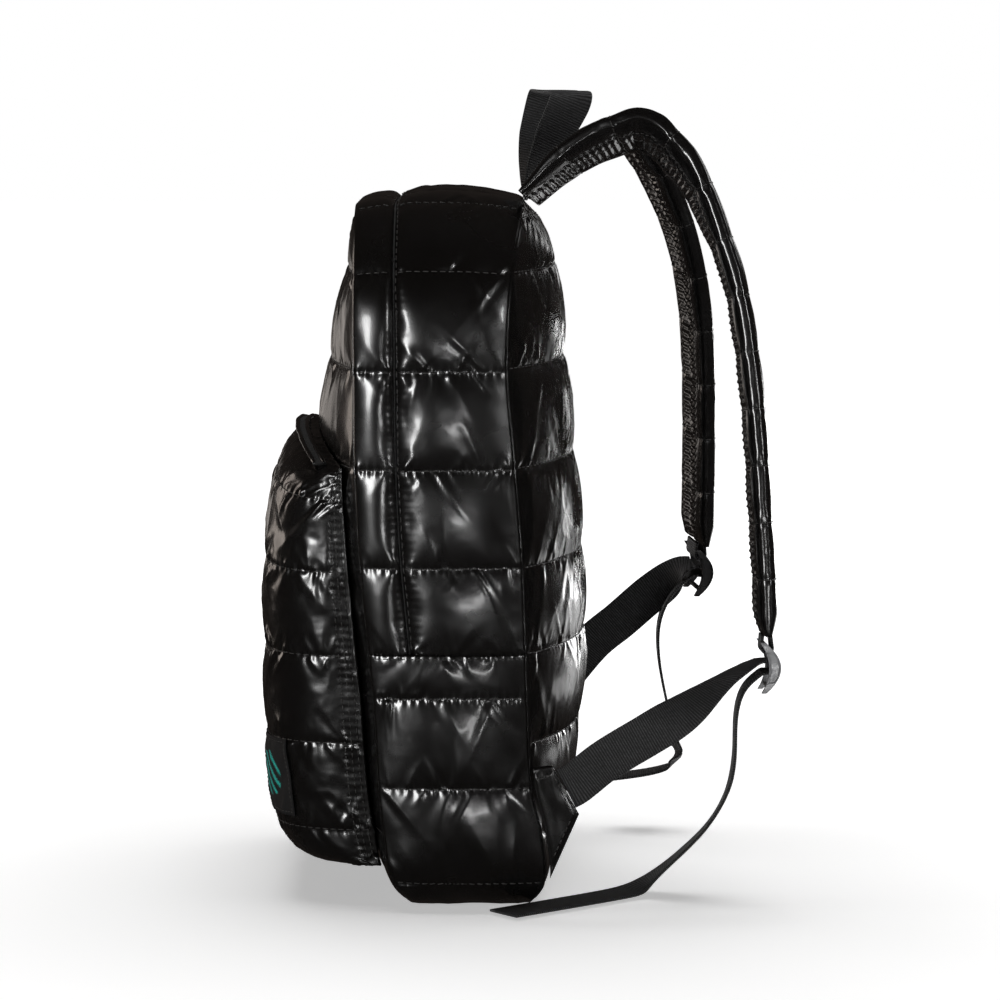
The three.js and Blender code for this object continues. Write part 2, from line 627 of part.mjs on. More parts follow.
// Adjusters: a frame of two bowed rails and three bars. Local X is its width, Y the way down the strap and Z
// outwards from the bag.
function adjuster() {
  const { Manifold, CrossSection } = wasm;
  const inside = WEBBING_WIDTH / 2 + 0.8;
  const arc = [];
  const bow = (share) => ADJUSTER_BOW * (1 - (2 * share - 1) ** 2);
  for (let i = 0; i <= 8; i += 1) arc.push([bow(i / 8), mix(-0.5, 0.5, i / 8) * ADJUSTER_LENGTH]);
  const outer = arc.map(([x, y]) => [x + RAIL_THICKNESS / 2, y]);
  const innerArc = arc.map(([x, y]) => [x - RAIL_THICKNESS / 2, y]).reverse();
  const rail = CrossSection.ofPolygons([[...outer, ...innerArc]], "NonZero").extrude(RAIL_WIDTH);
  // The section is drawn with X outwards and Y down the strap, and is pushed along the width.
  const placed = (shift) => rail.rotate([0, -90, 0]).translate([shift, 0, 0]);
  const parts = [placed(-inside), placed(inside + RAIL_WIDTH)];
  for (const down of [-ADJUSTER_LENGTH * 0.38, 0, ADJUSTER_LENGTH * 0.38]) {
    const height = bow(down / ADJUSTER_LENGTH + 0.5);
    parts.push(
      Manifold.cube([2 * inside + 2 * RAIL_WIDTH - 1, BAR_THICKNESS, BAR_THICKNESS], true).translate([0, down, height]),
    );
  }
  return { solid: Manifold.union(parts), bow };
}

function toGeometry(solid, matrix) {
  const mesh = solid.getMesh();
  const positions = [];
  for (let i = 0; i < mesh.numVert; i += 1) {
    const p = vec(...mesh.vertProperties.slice(3 * i, 3 * i + 3)).applyMatrix4(matrix);
    positions.push(p.x, p.y, p.z);
  }
  return facingOut(positions, [...mesh.triVerts]);
}

const LOOP_RADIUS = BAR_THICKNESS * 0.6 + BAR_CLEARANCE + WEBBING_THICKNESS / 2;

function strapSet(name) {
  const { side } = STRAP_SIDES[name];
  const run = strapRun(name);
  add(`shoulder_strap_${name}`, strapPad(run), PUFFER);

  // The adjuster hangs straight on from the strap.
  const end = run.curve.getPointAt(1);
  const down = run.curve.getTangentAt(1);
  const width = run.widthAt(1);
  const wide = width.clone().addScaledVector(down, -width.dot(down)).normalize();
  const out = down.clone().cross(wide).normalize();
  const { solid, bow } = adjuster();
  const topBar = -ADJUSTER_LENGTH * 0.38;
  const centre = end.clone().addScaledVector(down, STRAP_TO_BAR - topBar).addScaledVector(out, -bow(0.12));
  const local = new THREE.Matrix4().makeBasis(wide, down, out).setPosition(centre);
  add(`adjuster_${name}`, toGeometry(solid, local), PLASTIC);
  const placeAt = (d, o) => centre.clone().addScaledVector(down, d).addScaledVector(out, o);

  // The strap's own loop of webbing round the top bar
  const loop = [];
  const topHeight = bow(0.12);
  for (let i = 0; i <= 8; i += 1) {
    const angle = (Math.PI * i) / 8;
    const d = topBar + LOOP_RADIUS * Math.sin(angle);
    loop.push({ point: placeAt(d, topHeight - LOOP_RADIUS * Math.cos(angle)), width: wide });
  }
  const reach = -topBar + SEAT_GAP - STRAP_TO_BAR + topBar * 2;
  const pinch = 0.75;
  loop.unshift({ point: placeAt(reach, topHeight - LOOP_RADIUS * pinch), width: wide });
  loop.push({ point: placeAt(reach, topHeight + LOOP_RADIUS * pinch), width: wide });
  add(`strap_loop_${name}`, ribbon(loop, WEBBING_WIDTH, WEBBING_THICKNESS), WEBBING);

  // The lower webbing: from the wing, round the middle bar and on as the free tail
  const { edge, edgeWay } = wings[name];
  const middle = bow(0.5);
  const bend = [];
  for (let i = 0; i <= 8; i += 1) {
    const angle = (Math.PI * i) / 8;
    bend.push({
      point: placeAt(-LOOP_RADIUS * Math.cos(angle), middle + LOOP_RADIUS * Math.sin(angle)),
      width: wide,
    });
  }
  const away = vec(edgeWay.z, 0, -edgeWay.x);
  const from = edge.clone().addScaledVector(away, 2 * SEAT_GAP);
  const to = placeAt(-LOOP_RADIUS, middle - 8);
  const rise = WEBBING_RUNS[name].map(([, alongX, alongY, alongZ, twist]) => ({
    point: vec(mix(from.x, to.x, alongX), mix(from.y, to.y, alongY), mix(from.z, to.z, alongZ)),
    width: edgeWay.clone().lerp(wide, twist).normalize(),
  }));
  rise.splice(1, 0, { point: from.clone().addScaledVector(away, 6), width: edgeWay });
  const tailStart = placeAt(LOOP_RADIUS, middle - 7);
  const tail = TAIL_RUNS[name].map(([, back, sideways, height, swing]) => {
    const floor = WEBBING_THICKNESS / 2 + SEAT_GAP;
    const turned = THREE.MathUtils.degToRad(swing);
    return {
      point: vec(
        mix(tailStart.x, TAIL_ENDS[name][0], back),
        mix(tailStart.y, side * (HALF_WIDTH + TAIL_ENDS[name][1]), sideways),
        mix(floor, tailStart.z, height),
      ),
      width: vec(Math.sin(turned), Math.cos(turned), 0),
    };
  });
  const rounded = (list, count) => {
    const curve = new THREE.CatmullRomCurve3(list.map(({ point }) => point), false, "centripetal");
    return Array.from({ length: count + 1 }, (_, i) => {
      const at = (i / count) * (list.length - 1);
      const low = Math.min(list.length - 2, Math.floor(at));
      const point = curve.getPoint(i / count);
      point.z = Math.max(point.z, WEBBING_THICKNESS / 2 + SEAT_GAP); // never under the floor
      return { point, width: list[low].width.clone().lerp(list[low + 1].width, at - low).normalize() };
    });
  };
  // Low down the tail turns flat, square to the way it runs.
  const freeTail = rounded(tail, 26);
  freeTail.forEach((place, i) => {
    const ahead = freeTail[Math.min(freeTail.length - 1, i + 1)].point;
    const run = ahead.clone().sub(freeTail[Math.max(0, i - 1)].point);
    const flat = vec(run.y, -run.x, 0).normalize();
    if (flat.y < 0) flat.negate();
    const lying = 1 - THREE.MathUtils.smoothstep(place.point.z, WEBBING_WIDTH, 3 * WEBBING_WIDTH);
    place.width.lerp(flat, lying).normalize();
  });
  const whole = [...rounded(rise, 16), ...bend, ...freeTail];
  add(`lower_webbing_${name}`, ribbon(whole, WEBBING_WIDTH, WEBBING_THICKNESS), WEBBING);
}

// The lower webbing from the wing to the adjuster, as shares of the way in X, Y and Z. Columns: step; X; Y; Z; twist.
const WEBBING_RUNS = {
  right: [
    [0, 0, 0, 0, 0],
    [1, 0.19, 0.09, 0.22, 0],
    [2, 0.44, 0.21, 0.46, 0.05],
    [3, 0.59, 0.36, 0.6, 0.4],
    [4, 0.71, 0.52, 0.74, 0.62],
    [5, 0.83, 0.67, 0.88, 0.82],
    [6, 0.94, 0.9, 0.97, 0.96],
    [7, 1, 1, 1, 1],
  ],
  left: [
    [0, 0, 0, 0, 0],
    [1, 0.32, 0.34, 0.4, 0],
    [2, 0.51, 0.54, 0.57, 0.05],
    [3, 0.69, 0.72, 0.74, 0.12],
    [4, 0.84, 0.85, 0.87, 0.4],
    [5, 0.94, 0.95, 0.97, 0.85],
    [6, 1, 1, 1, 1],
  ],
};

// The free tails, as shares of the way from the adjuster to the end. Columns: step; X; Y; height; swing in degrees.
const TAIL_RUNS = {
  right: [
    [0, 0, 0, 1, 0],
    [1, 0.07, 0, 0.93, 0],
    [2, 0.1, -0.03, 0.8, 0],
    [3, 0.1, -0.06, 0.62, 0],
    [4, 0.125, -0.1, 0.46, 0],
    [5, 0.2, -0.14, 0.3, 0],
    [6, 0.31, -0.17, 0.17, 4],
    [7, 0.42, -0.18, 0.06, 10],
    [8, 0.5, -0.12, 0, 18],
    [9, 0.66, 0.24, 0, 24],
    [10, 0.82, 0.6, 0, 30],
    [11, 1, 1, 0, 34],
  ],
  left: [
    [0, 0, 0, 1, 0],
    [1, 0.25, 0.05, 0.93, 0],
    [2, 0.42, 0.1, 0.82, 0],
    [3, 0.43, 0.15, 0.68, 0],
    [4, 0.32, 0.3, 0.5, 0],
    [5, 0.2, 0.5, 0.34, 0],
    [6, 0.2, 0.7, 0.25, 0],
    [7, 0.4, 0.85, 0.22, 0],
    [8, 0.75, 0.95, 0.2, 0],
    [9, 1, 1, 0.19, 0],
  ],
};
const TAIL_ENDS = { right: [24, 15], left: [96, -20] };

strapSet("right");
strapSet("left");

// The grab handle, sewn into the top of the back seam. Columns: step; X behind the seam and Y of HANDLE_SPAN;
// height of HANDLE_HEIGHT; turn of its width from the seam in degrees.
const HANDLE_RUN = [
  [0, 0.4, -0.5, 0.008, 88],
  [1, 6, -0.5, 0.25, 62],
  [2, 17, -0.53, 0.6, 24],
  [3, 27, -0.52, 0.93, 8],
  [4, 28, -0.42, 1, 4],
  [5, 22, 0, 1.02, 0],
  [6, 16, 0.42, 1.01, -4],
  [7, 14, 0.52, 0.95, -8],
  [8, 8, 0.53, 0.6, -24],
  [9, 3, 0.52, 0.25, -62],
  [10, 0.4, 0.5, 0.008, -88],
];
function handle() {
  const list = HANDLE_RUN.map(([, back, across, height, turn]) => {
    const angle = THREE.MathUtils.degToRad(turn);
    return {
      point: vec(
        backSeam(BAG_HEIGHT) + 1 + back,
        across * HANDLE_SPAN,
        BAG_HEIGHT + SEAT_GAP + HANDLE_HEIGHT * height,
      ),
      width: vec(Math.cos(angle), Math.sin(angle), 0),
    };
  });
  const curve = new THREE.CatmullRomCurve3(list.map(({ point }) => point), false, "centripetal");
  const count = 24;
  const run = Array.from({ length: count + 1 }, (_, i) => {
    const at = (i / count) * (list.length - 1);
    const low = Math.min(list.length - 2, Math.floor(at));
    return {
      point: curve.getPoint(i / count),
      width: list[low].width.clone().lerp(list[low + 1].width, at - low).normalize(),
    };
  });
  return ribbon(run, WEBBING_WIDTH, WEBBING_THICKNESS);
}
add("grab_handle", handle(), WEBBING);

export default backpack;
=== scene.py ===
# %% [markdown]
# # A quilted puffer backpack
# The bag stands on its base, seen square from its right side. Its body is sewn from glossy nylon with filling between
# two layers, so nearly everything here is padded cloth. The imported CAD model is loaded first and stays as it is: each
# soft solid gives the size and place of the piece that stands for it.

# %% Load the frame
import math

import bmesh
import bpy
import numpy as np
from mathutils import Matrix, Vector
from mathutils.bvhtree import BVHTree


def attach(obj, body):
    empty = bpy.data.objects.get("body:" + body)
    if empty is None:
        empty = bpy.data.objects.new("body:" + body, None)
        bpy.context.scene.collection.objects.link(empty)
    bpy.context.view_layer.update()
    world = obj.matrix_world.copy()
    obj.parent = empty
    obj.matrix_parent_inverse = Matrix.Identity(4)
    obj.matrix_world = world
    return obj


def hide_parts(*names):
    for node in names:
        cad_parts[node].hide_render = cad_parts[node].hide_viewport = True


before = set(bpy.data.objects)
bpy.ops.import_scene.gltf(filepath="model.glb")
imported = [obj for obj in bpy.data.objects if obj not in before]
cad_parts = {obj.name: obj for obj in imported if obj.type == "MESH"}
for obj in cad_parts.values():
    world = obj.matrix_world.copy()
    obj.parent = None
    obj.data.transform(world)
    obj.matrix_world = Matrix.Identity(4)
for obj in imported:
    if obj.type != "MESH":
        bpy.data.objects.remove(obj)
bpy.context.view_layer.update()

mm = 0.001

# %% [markdown]
# ## Camera
# The photograph is taken with a long lens, level with the bag's side and looking down by six degrees. The camera is
# set before anything else, so that every later piece can be compared with the photograph.

# %% Camera
CAMERA_TARGET = Vector((0.022, 0.0, 0.2263))
CAMERA_ELEVATION = math.radians(6)
CAMERA_DISTANCE = 2.6
LENS = 152.4  # millimetres, on a sensor 36 mm wide

camera_data = bpy.data.cameras.new("camera")
camera_data.lens = LENS
camera_data.sensor_width = 36
camera = bpy.data.objects.new("camera", camera_data)
bpy.context.scene.collection.objects.link(camera)
camera.location = CAMERA_TARGET + CAMERA_DISTANCE * Vector((0, -math.cos(CAMERA_ELEVATION), math.sin(CAMERA_ELEVATION)))
camera.rotation_euler = (math.pi / 2 - CAMERA_ELEVATION, 0, 0)
bpy.context.scene.camera = camera
print("camera at", [round(v, 3) for v in camera.location])

# %% [markdown]
# ## Floor and light
# Black gloss shows nothing of itself: what is seen is the lights in it. Nine flat lamps stand round the bag and are
# seen in the gloss only: they give the bright crescents under the seams, the long line down the side and the silvery
# edge of the back. A tenth hangs overhead, out of the gloss, and gives the soft shadow. The floor glows less near the
# bag, which adds painted shade round its foot. The world is white where the camera looks straight at it, and nearly
# black in reflections, so that the cloth stays deep black. A few helpers that build the nodes of a finish come first,
# as the floor has one too.

# %% Node helpers
def new_paint(name, colour, roughness, specular=0.5):
    """A material with one shader, whose even values are set on the shader itself."""
    paint = bpy.data.materials.new(name)
    paint.use_nodes = True
    shader = paint.node_tree.nodes["Principled BSDF"]
    shader.inputs["Base Color"].default_value = (*colour, 1)
    shader.inputs["Roughness"].default_value = roughness
    shader.inputs["Specular IOR Level"].default_value = specular
    return paint, paint.node_tree, shader


def node(tree, kind, **values):
    made = tree.nodes.new(kind)
    for key, value in values.items():
        if key.startswith("in_"):
            made.inputs[key[3:].replace("_", " ")].default_value = value
        else:
            setattr(made, key, value)
    return made


def own_place(tree):
    return node(tree, "ShaderNodeTexCoord").outputs["Object"]


def noise_in(tree, scale, detail=3.0, roughness=0.5):
    """A noise pattern on the object's own place."""
    noise = node(tree, "ShaderNodeTexNoise", in_Scale=scale, in_Detail=detail, in_Roughness=roughness)
    tree.links.new(own_place(tree), noise.inputs["Vector"])
    return noise.outputs["Fac"]


def ranged(tree, value, low, high, from_low=0.3, from_high=0.7, steps="LINEAR"):
    """A pattern spread between two values."""
    spread = node(tree, "ShaderNodeMapRange", interpolation_type=steps)
    for socket, number in zip(("From Min", "From Max", "To Min", "To Max"), (from_low, from_high, low, high)):
        spread.inputs[socket].default_value = number
    tree.links.new(value, spread.inputs["Value"])
    return spread.outputs["Result"]


def mixed(tree, share, low, high):
    """Two colours mixed by a share."""
    mix = node(tree, "ShaderNodeMix", data_type="RGBA")
    mix.inputs[6].default_value, mix.inputs[7].default_value = (*low, 1), (*high, 1)
    tree.links.new(share, mix.inputs[0])
    return mix.outputs[2]


def multiplied(tree, first, second):
    product = node(tree, "ShaderNodeMath", operation="MULTIPLY")
    for value, socket in zip((first, second), product.inputs):
        tree.links.new(value, socket)
    return product.outputs[0]


def ribs_in(tree, period, axis):
    """Even ribs along the cloth map, by their distance in metres."""
    cloth_map = node(tree, "ShaderNodeUVMap", uv_map="cloth")
    wave = node(tree, "ShaderNodeTexWave", wave_type="BANDS", bands_direction=axis, wave_profile="SIN")
    wave.inputs["Scale"].default_value = 2 * math.pi / period / 20
    wave.inputs["Distortion"].default_value = 0.0
    tree.links.new(cloth_map.outputs["UV"], wave.inputs["Vector"])
    return wave.outputs["Fac"]


def bumped(tree, shader, layers):
    """Chains bumps, each (height, strength, distance), into the shader."""
    last = None
    for height, strength, distance in layers:
        bump = node(tree, "ShaderNodeBump", in_Strength=strength, in_Distance=distance)
        tree.links.new(height, bump.inputs["Height"])
        if last is not None:
            tree.links.new(last, bump.inputs["Normal"])
        last = bump.outputs["Normal"]
    tree.links.new(last, shader.inputs["Normal"])


# %% Floor
bpy.ops.object.select_all(action="DESELECT")
bpy.ops.mesh.primitive_plane_add(size=24, location=(0, 0, -0.0012))
floor = bpy.context.active_object
floor.name = "floor"
floor_paint, tree, shader = new_paint("floor_paint", (0.93, 0.93, 0.93), 0.9, 0.0)
shader.inputs["Emission Color"].default_value = (1, 1, 1, 1)
# The floor glows, weaker near the bag: the dimmer glow round its foot is painted shade on top of the overhead lamp's
# real shadow, and the full glow further out keeps the floor white.
away = node(tree, "ShaderNodeVectorMath", operation="LENGTH")
tree.links.new(own_place(tree), away.inputs[0])
floor_glow_with_painted_shade = ranged(tree, away.outputs["Value"], 0.45, 1.0, 0.2, 1.3, "SMOOTHSTEP")
tree.links.new(floor_glow_with_painted_shade, shader.inputs["Emission Strength"])
floor.data.materials.append(floor_paint)
floor.visible_glossy = False

# %% Lights
def soft_box(name, place, target, size, power, colour=(1, 1, 1)):
    """A flat lamp at a place, turned to a target. It is seen in the gloss only, so it throws no shadow."""
    lamp = bpy.data.lights.new(name, "AREA")
    lamp.shape = "RECTANGLE"
    lamp.size, lamp.size_y = size
    lamp.energy = power
    lamp.color = colour
    holder = bpy.data.objects.new(name, lamp)
    bpy.context.scene.collection.objects.link(holder)
    holder.location = place
    holder.rotation_euler = (Vector(target) - Vector(place)).to_track_quat("-Z", "Y").to_euler()
    holder.visible_diffuse = False
    return holder


soft_box("key_front_left", (-1.15, -2.1, 0.55), (0, 0, 0.24), (0.42, 0.7), 24)
soft_box("low_front", (0.3, -2.2, 0.12), (0, 0, 0.2), (0.35, 0.1), 2.6)
soft_box("behind_right", (1.0, 1.8, 0.08), (0, 0, 0.2), (0.4, 0.3), 3)
soft_box("behind_high", (0.95, 2.1, 0.8), (0, 0, 0.3), (0.4, 0.6), 1.2)
soft_box("behind_left", (-1.7, 0.9, 0.6), (0, 0, 0.25), (0.6, 1.1), 4.5, (1, 0.88, 0.79))
soft_box("strap_line", (1.5, -1.7, 0.75), (0.15, 0, 0.3), (0.12, 0.6), 8)
soft_box("strap_inside", (-0.9, 2.2, 0.14), (0.3, 0, 0.35), (0.7, 0.3), 0.35, (1, 0.92, 0.86))
soft_box("back_fill", (1.9, 1.0, 1.35), (0, 0, 0.25), (0.8, 0.6), 3.5)
floor_shine = soft_box("floor_shine", (0.55, 0.8, 0.01), (0.55, 0.8, 1), (0.45, 0.8), 1.3)
floor_shine.visible_camera = False  # the shine of the pale floor, seen in the gloss only
overhead = soft_box("overhead", (0.1, 0.4, 2.2), (0, 0, 0.2), (1.9, 1.5), 36)
overhead.visible_diffuse, overhead.visible_glossy = True, False  # the soft shadow round the foot
world = bpy.data.worlds.new("studio")
bpy.context.scene.world = world
world.use_nodes = True
sky = world.node_tree
looked_at = node(sky, "ShaderNodeLightPath").outputs["Is Camera Ray"]
sky.links.new(mixed(sky, looked_at, (0.02, 0.016, 0.014), (1, 1, 1)), sky.nodes["Background"].inputs["Color"])
bpy.context.scene.view_settings.view_transform = "Standard"
print("ten flat lamps and a white world")

# %% [markdown]
# ## The measures of the body
# The body's side view is a table of shares, as in the CAD source: for each height it says where the front and back
# seams run and how far the panels swell over them. A smooth curve goes through each column.

# %% Measures
BAG_HEIGHT = 410 * mm
HALF_WIDTH, TOP_TAPER = 146 * mm, 8 * mm
TOP_CORNER_RADIUS, BASE_CORNER_RADIUS = 72 * mm, 26 * mm
GUSSET_DEPTH = 98 * mm
FRONT_STRIP_WIDTH = 24 * mm
FRONT_CROWN, BACK_CROWN, GUSSET_CROWN = 24 * mm, 37 * mm, 5 * mm
LOWER_GUSSET_TOP = 151 * mm
TOP_SEAM_DROP = 7 * mm
CLOTH_THICKNESS = 3 * mm  # of a padded wall
PUFF = 6 * mm  # how far a channel stands out between its seams
CHANNEL = 57 * mm  # length of cloth from one stitched line of the gusset to the next
SEAM_INSET = 0.12 * mm  # each panel stops this far short of the seam line

# Columns: share of the height; front seam and back seam as shares of the depth; crowns as shares of the crowns
BODY_SECTIONS = np.array([
    [0, -0.3, 0.4, 0, 0],
    [0.04, -0.42, 0.49, 0.3, 0.14],
    [0.11, -0.47, 0.47, 0.6, 0.38],
    [0.18, -0.5, 0.41, 0.8, 0.7],
    [0.3, -0.53, 0.385, 0.95, 0.94],
    [0.5, -0.61, 0.355, 1, 0.98],
    [0.64, -0.64, 0.31, 1, 0.96],
    [0.77, -0.645, 0.265, 0.72, 0.93],
    [0.9, -0.65, 0.29, 0.24, 0.74],
    [0.97, -0.65, 0.34, 0.06, 0.36],
    [1, -0.65, 0.37, 0, 0],
])


def column_of(table, column):
    """A column of a table as a smooth curve over its first column."""
    places, values = table[:, 0], table[:, column]
    last = len(places) - 1
    before, after = np.maximum(np.arange(last + 1) - 1, 0), np.minimum(np.arange(last + 1) + 1, last)
    slopes = (values[after] - values[before]) / (places[after] - places[before])

    def at(place):
        place = np.clip(place, places[0], places[-1])
        i = np.clip(np.searchsorted(places, place, side="right") - 1, 0, last - 1)
        span = places[i + 1] - places[i]
        s = (place - places[i]) / span
        return (
            (2 * s**3 - 3 * s**2 + 1) * values[i]
            + (s**3 - 2 * s**2 + s) * span * slopes[i]
            + (3 * s**2 - 2 * s**3) * values[i + 1]
            + (s**3 - s**2) * span * slopes[i + 1]
        )

    return at


section_columns = [column_of(BODY_SECTIONS, column) for column in range(1, 5)]


def front_seam(z):
    return GUSSET_DEPTH * section_columns[0](z / BAG_HEIGHT)


def back_seam(z):
    return GUSSET_DEPTH * section_columns[1](z / BAG_HEIGHT)


def front_crown(z):
    return FRONT_CROWN * section_columns[2](z / BAG_HEIGHT)


def back_crown(z):
    return BACK_CROWN * section_columns[3](z / BAG_HEIGHT)


TOP_ARC_START = BAG_HEIGHT - TOP_CORNER_RADIUS


def half_width(z):
    """Half the body's width at a height, round its top and bottom corners."""
    up = np.clip(z - TOP_ARC_START, 0, TOP_CORNER_RADIUS)
    down = np.clip(BASE_CORNER_RADIUS - z, 0, BASE_CORNER_RADIUS)
    return (
        HALF_WIDTH - TOP_TAPER * z / BAG_HEIGHT
        - (TOP_CORNER_RADIUS - np.sqrt(TOP_CORNER_RADIUS**2 - up**2))
        - (BASE_CORNER_RADIUS - np.sqrt(BASE_CORNER_RADIUS**2 - down**2))
    )


# %% Stitched lines
LOW_LINES = LOWER_GUSSET_TOP * np.array([0.11, 0.3, 0.48, 0.65, 0.83, 1])
HIGH_LINES = LOWER_GUSSET_TOP + (BAG_HEIGHT - TOP_SEAM_DROP - LOWER_GUSSET_TOP) * np.array([0.2, 0.43, 0.66, 0.88, 1])
BACK_LINES = [LOW_LINES[0], LOW_LINES[1], LOW_LINES[3], LOWER_GUSSET_TOP, *HIGH_LINES]
FRONT_LINES = [0, LOW_LINES[1], *HIGH_LINES[1:]]
TOP_GIRTH = TOP_ARC_START + TOP_CORNER_RADIUS * math.pi / 2 + half_width(BAG_HEIGHT)
GUSSET_LINES = [LOWER_GUSSET_TOP, HIGH_LINES[0]]
while GUSSET_LINES[-1] + CHANNEL < TOP_GIRTH:
    GUSSET_LINES.append(GUSSET_LINES[-1] + CHANNEL)
print("gusset lines by length of cloth:", [round(v / mm, 1) for v in GUSSET_LINES])

# %% [markdown]
# ## Padded cloth
# A puffer panel is a flat cloth that is stitched down along lines and blown up between them. That is just what
# Blender's Cloth does with pressure, so each panel is a grid whose stitched rows are pinned, and whose cloth is cut a
# little too large, which makes it pucker at the seams as the real one does. The grids are simulated at ten times
# their size, where the solver's stiffness suits them, and all of them together, so that they share the processor.

# %% Grids and noise
CLOTH_STEP = 2.5 * mm
SIM_SCALE = 10.0
cloths = {}  # name of the piece: its grid, where it is stitched, and what the simulation gave


def places_between(lines, step, low=None, high=None):
    """Places from the lowest to the highest line, all lines among them, about a step apart."""
    lines = sorted({round(float(v), 6) for v in (*lines, low, high) if v is not None})
    lines = [v for v in lines if (low is None or v >= low - 1e-6) and (high is None or v <= high + 1e-6)]
    places = [lines[0]]
    for a, b in zip(lines[:-1], lines[1:]):
        count = max(1, int(round((b - a) / step)))
        places += [a + (b - a) * (k + 1) / count for k in range(count)]
    return np.array(places)


def on_lines(places, lines):
    """Which places lie on one of the lines."""
    return np.min(np.abs(np.asarray(places)[:, None] - np.asarray(lines)[None, :]), axis=1) < 1e-5


def soft_noise(shape, blur, seed, around=False):
    """Seeded noise between -1 and 1 on a grid, blurred so that its hills are about blur cells wide."""
    grid = np.random.RandomState(seed).rand(*shape) - 0.5
    for _ in range(2):
        for axis in (0, 1):
            width = min(blur, shape[axis] - 1)
            if width < 2:
                continue
            kernel = np.ones(width) / width
            mode = "wrap" if around and axis == 1 else "reflect"
            pad = [(0, 0), (0, 0)]
            pad[axis] = (width, width)
            padded_grid = np.pad(grid, pad, mode=mode)
            grid = np.apply_along_axis(lambda row: np.convolve(row, kernel, "same"), axis, padded_grid)
            grid = np.take(grid, np.arange(width, width + shape[axis]), axis=axis)
    grid -= grid.mean()
    return grid / max(1e-9, np.abs(grid).max())


def unit(v):
    """A vector, or each of several, made one long."""
    return v / np.maximum(1e-12, np.linalg.norm(v, axis=-1, keepdims=True))


def walked_along(line):
    """How far along a line each of its points is."""
    return np.concatenate([[0], np.cumsum(np.linalg.norm(np.diff(line, axis=0), axis=1))])


def followed(line, along, places):
    """The points of a line at some places, where along says how far each of its own points is."""
    return np.stack([np.interp(places, along, line[:, k]) for k in range(3)], -1)


def cloth_lengths(points):
    """How much cloth lies before each point of a grid, across and along."""
    return [
        np.cumsum(np.linalg.norm(np.diff(points, axis=axis, prepend=np.take(points, [0], axis)), axis=2), axis=axis)
        for axis in (1, 0)
    ]


def neighbour_mean(grid, around=False):
    """The mean of each point's four neighbours in a grid of numbers."""
    wide = np.pad(np.pad(grid, ((1, 1), (0, 0)), "edge"), ((0, 0), (1, 1)), "wrap" if around else "edge")
    return (wide[:-2, 1:-1] + wide[2:, 1:-1] + wide[1:-1, :-2] + wide[1:-1, 2:]) / 4


def quads(index):
    """The faces of a grid of vertex numbers."""
    return np.stack([index[:-1, :-1], index[:-1, 1:], index[1:, 1:], index[1:, :-1]], -1).reshape(-1, 4).tolist()


def tube_of(count, around):
    """The vertex numbers of a tube of rings, and the faces of its side."""
    index = np.arange(count * around).reshape(count, around)
    return index, quads(np.hstack([index, index[:, :1]]))


def closed_ends(index, faces):
    """The same faces with one more at each end of the tube."""
    return faces + [index[0][::-1].tolist(), index[-1].tolist()]


def grid_normals(points, around=False):
    """The way out of a grid at each of its points: across its columns times along its rows."""
    if around:
        along_columns = np.roll(points, -1, 1) - np.roll(points, 1, 1)
    else:
        along_columns = np.gradient(points, axis=1)
    return unit(np.cross(along_columns, np.gradient(points, axis=0)))


# %% Cloth solver
def hang_cloth(name, points, pinned, swell, seed, spare, skew, stitched, around=False):
    """Keeps a grid for the simulation. swell is how far it may stand out, spare how much larger the cloth is cut
    across and along, and skew how far each channel is pulled aslant, which gives it slanting folds."""
    rows = list(stitched)
    cloths[name] = {
        "points": points, "pinned": pinned, "swell": swell, "seed": seed, "around": around, "rows_stitched": rows,
        "cut": cut_of(points, spare, skew, rows, seed, around),
    }


def cut_of(points, spare, skew, stitched, seed, around):
    """The shape that the cloth was cut to: the grid, made larger across and along, with its channels pulled aslant."""
    rows, columns = points.shape[:2]
    steps = np.diff(points, axis=1)
    if around:
        extra = np.full((rows, 1), spare[0])
    else:
        extra = spare[0] * (1 + 0.6 * soft_noise((rows, columns), 16, seed + 3)[:, 1:])
    cut = np.concatenate([points[:, :1], points[:, :1] + np.cumsum(steps * (1 + extra)[..., None], axis=1)], axis=1)
    cut += (points.mean(1) - cut.mean(1))[:, None]
    if skew:
        aslant = unit(points[:, -1] - points[:, 0])
        along = walked_along(points[:, columns // 2])
        random = np.random.RandomState(seed + 5)
        bends = sorted({0, *stitched, rows - 1})
        shift, shifts = 0.0, [0.0]
        for a, b in zip(bends[:-1], bends[1:]):
            slope = skew * random.uniform(0.5, 1.2) * (1 if random.rand() > 0.35 else -1)
            shift += slope * (along[b] - along[a])
            shifts.append(shift)
        cut += (aslant * np.interp(np.arange(rows), bends, shifts)[:, None])[:, None]
    middle = cut.mean((0, 1))
    return middle + (cut - middle) * (1 + spare[1])


CLOTH_SETTINGS = {
    "use_pressure": True, "uniform_pressure_force": 8, "mass": 0.2, "quality": 5,
    "vertex_group_mass": "stitched", "pin_stiffness": 1,
    "tension_stiffness": 15, "compression_stiffness": 15, "shear_stiffness": 5, "bending_stiffness": 0.05,
    "tension_damping": 5, "compression_damping": 5, "shear_damping": 5, "bending_damping": 0.5, "air_damping": 1,
}
SIM_FRAMES = 20
SIDE_SLIP = 2.5 * mm  # no point of the cloth ends further than this to the side


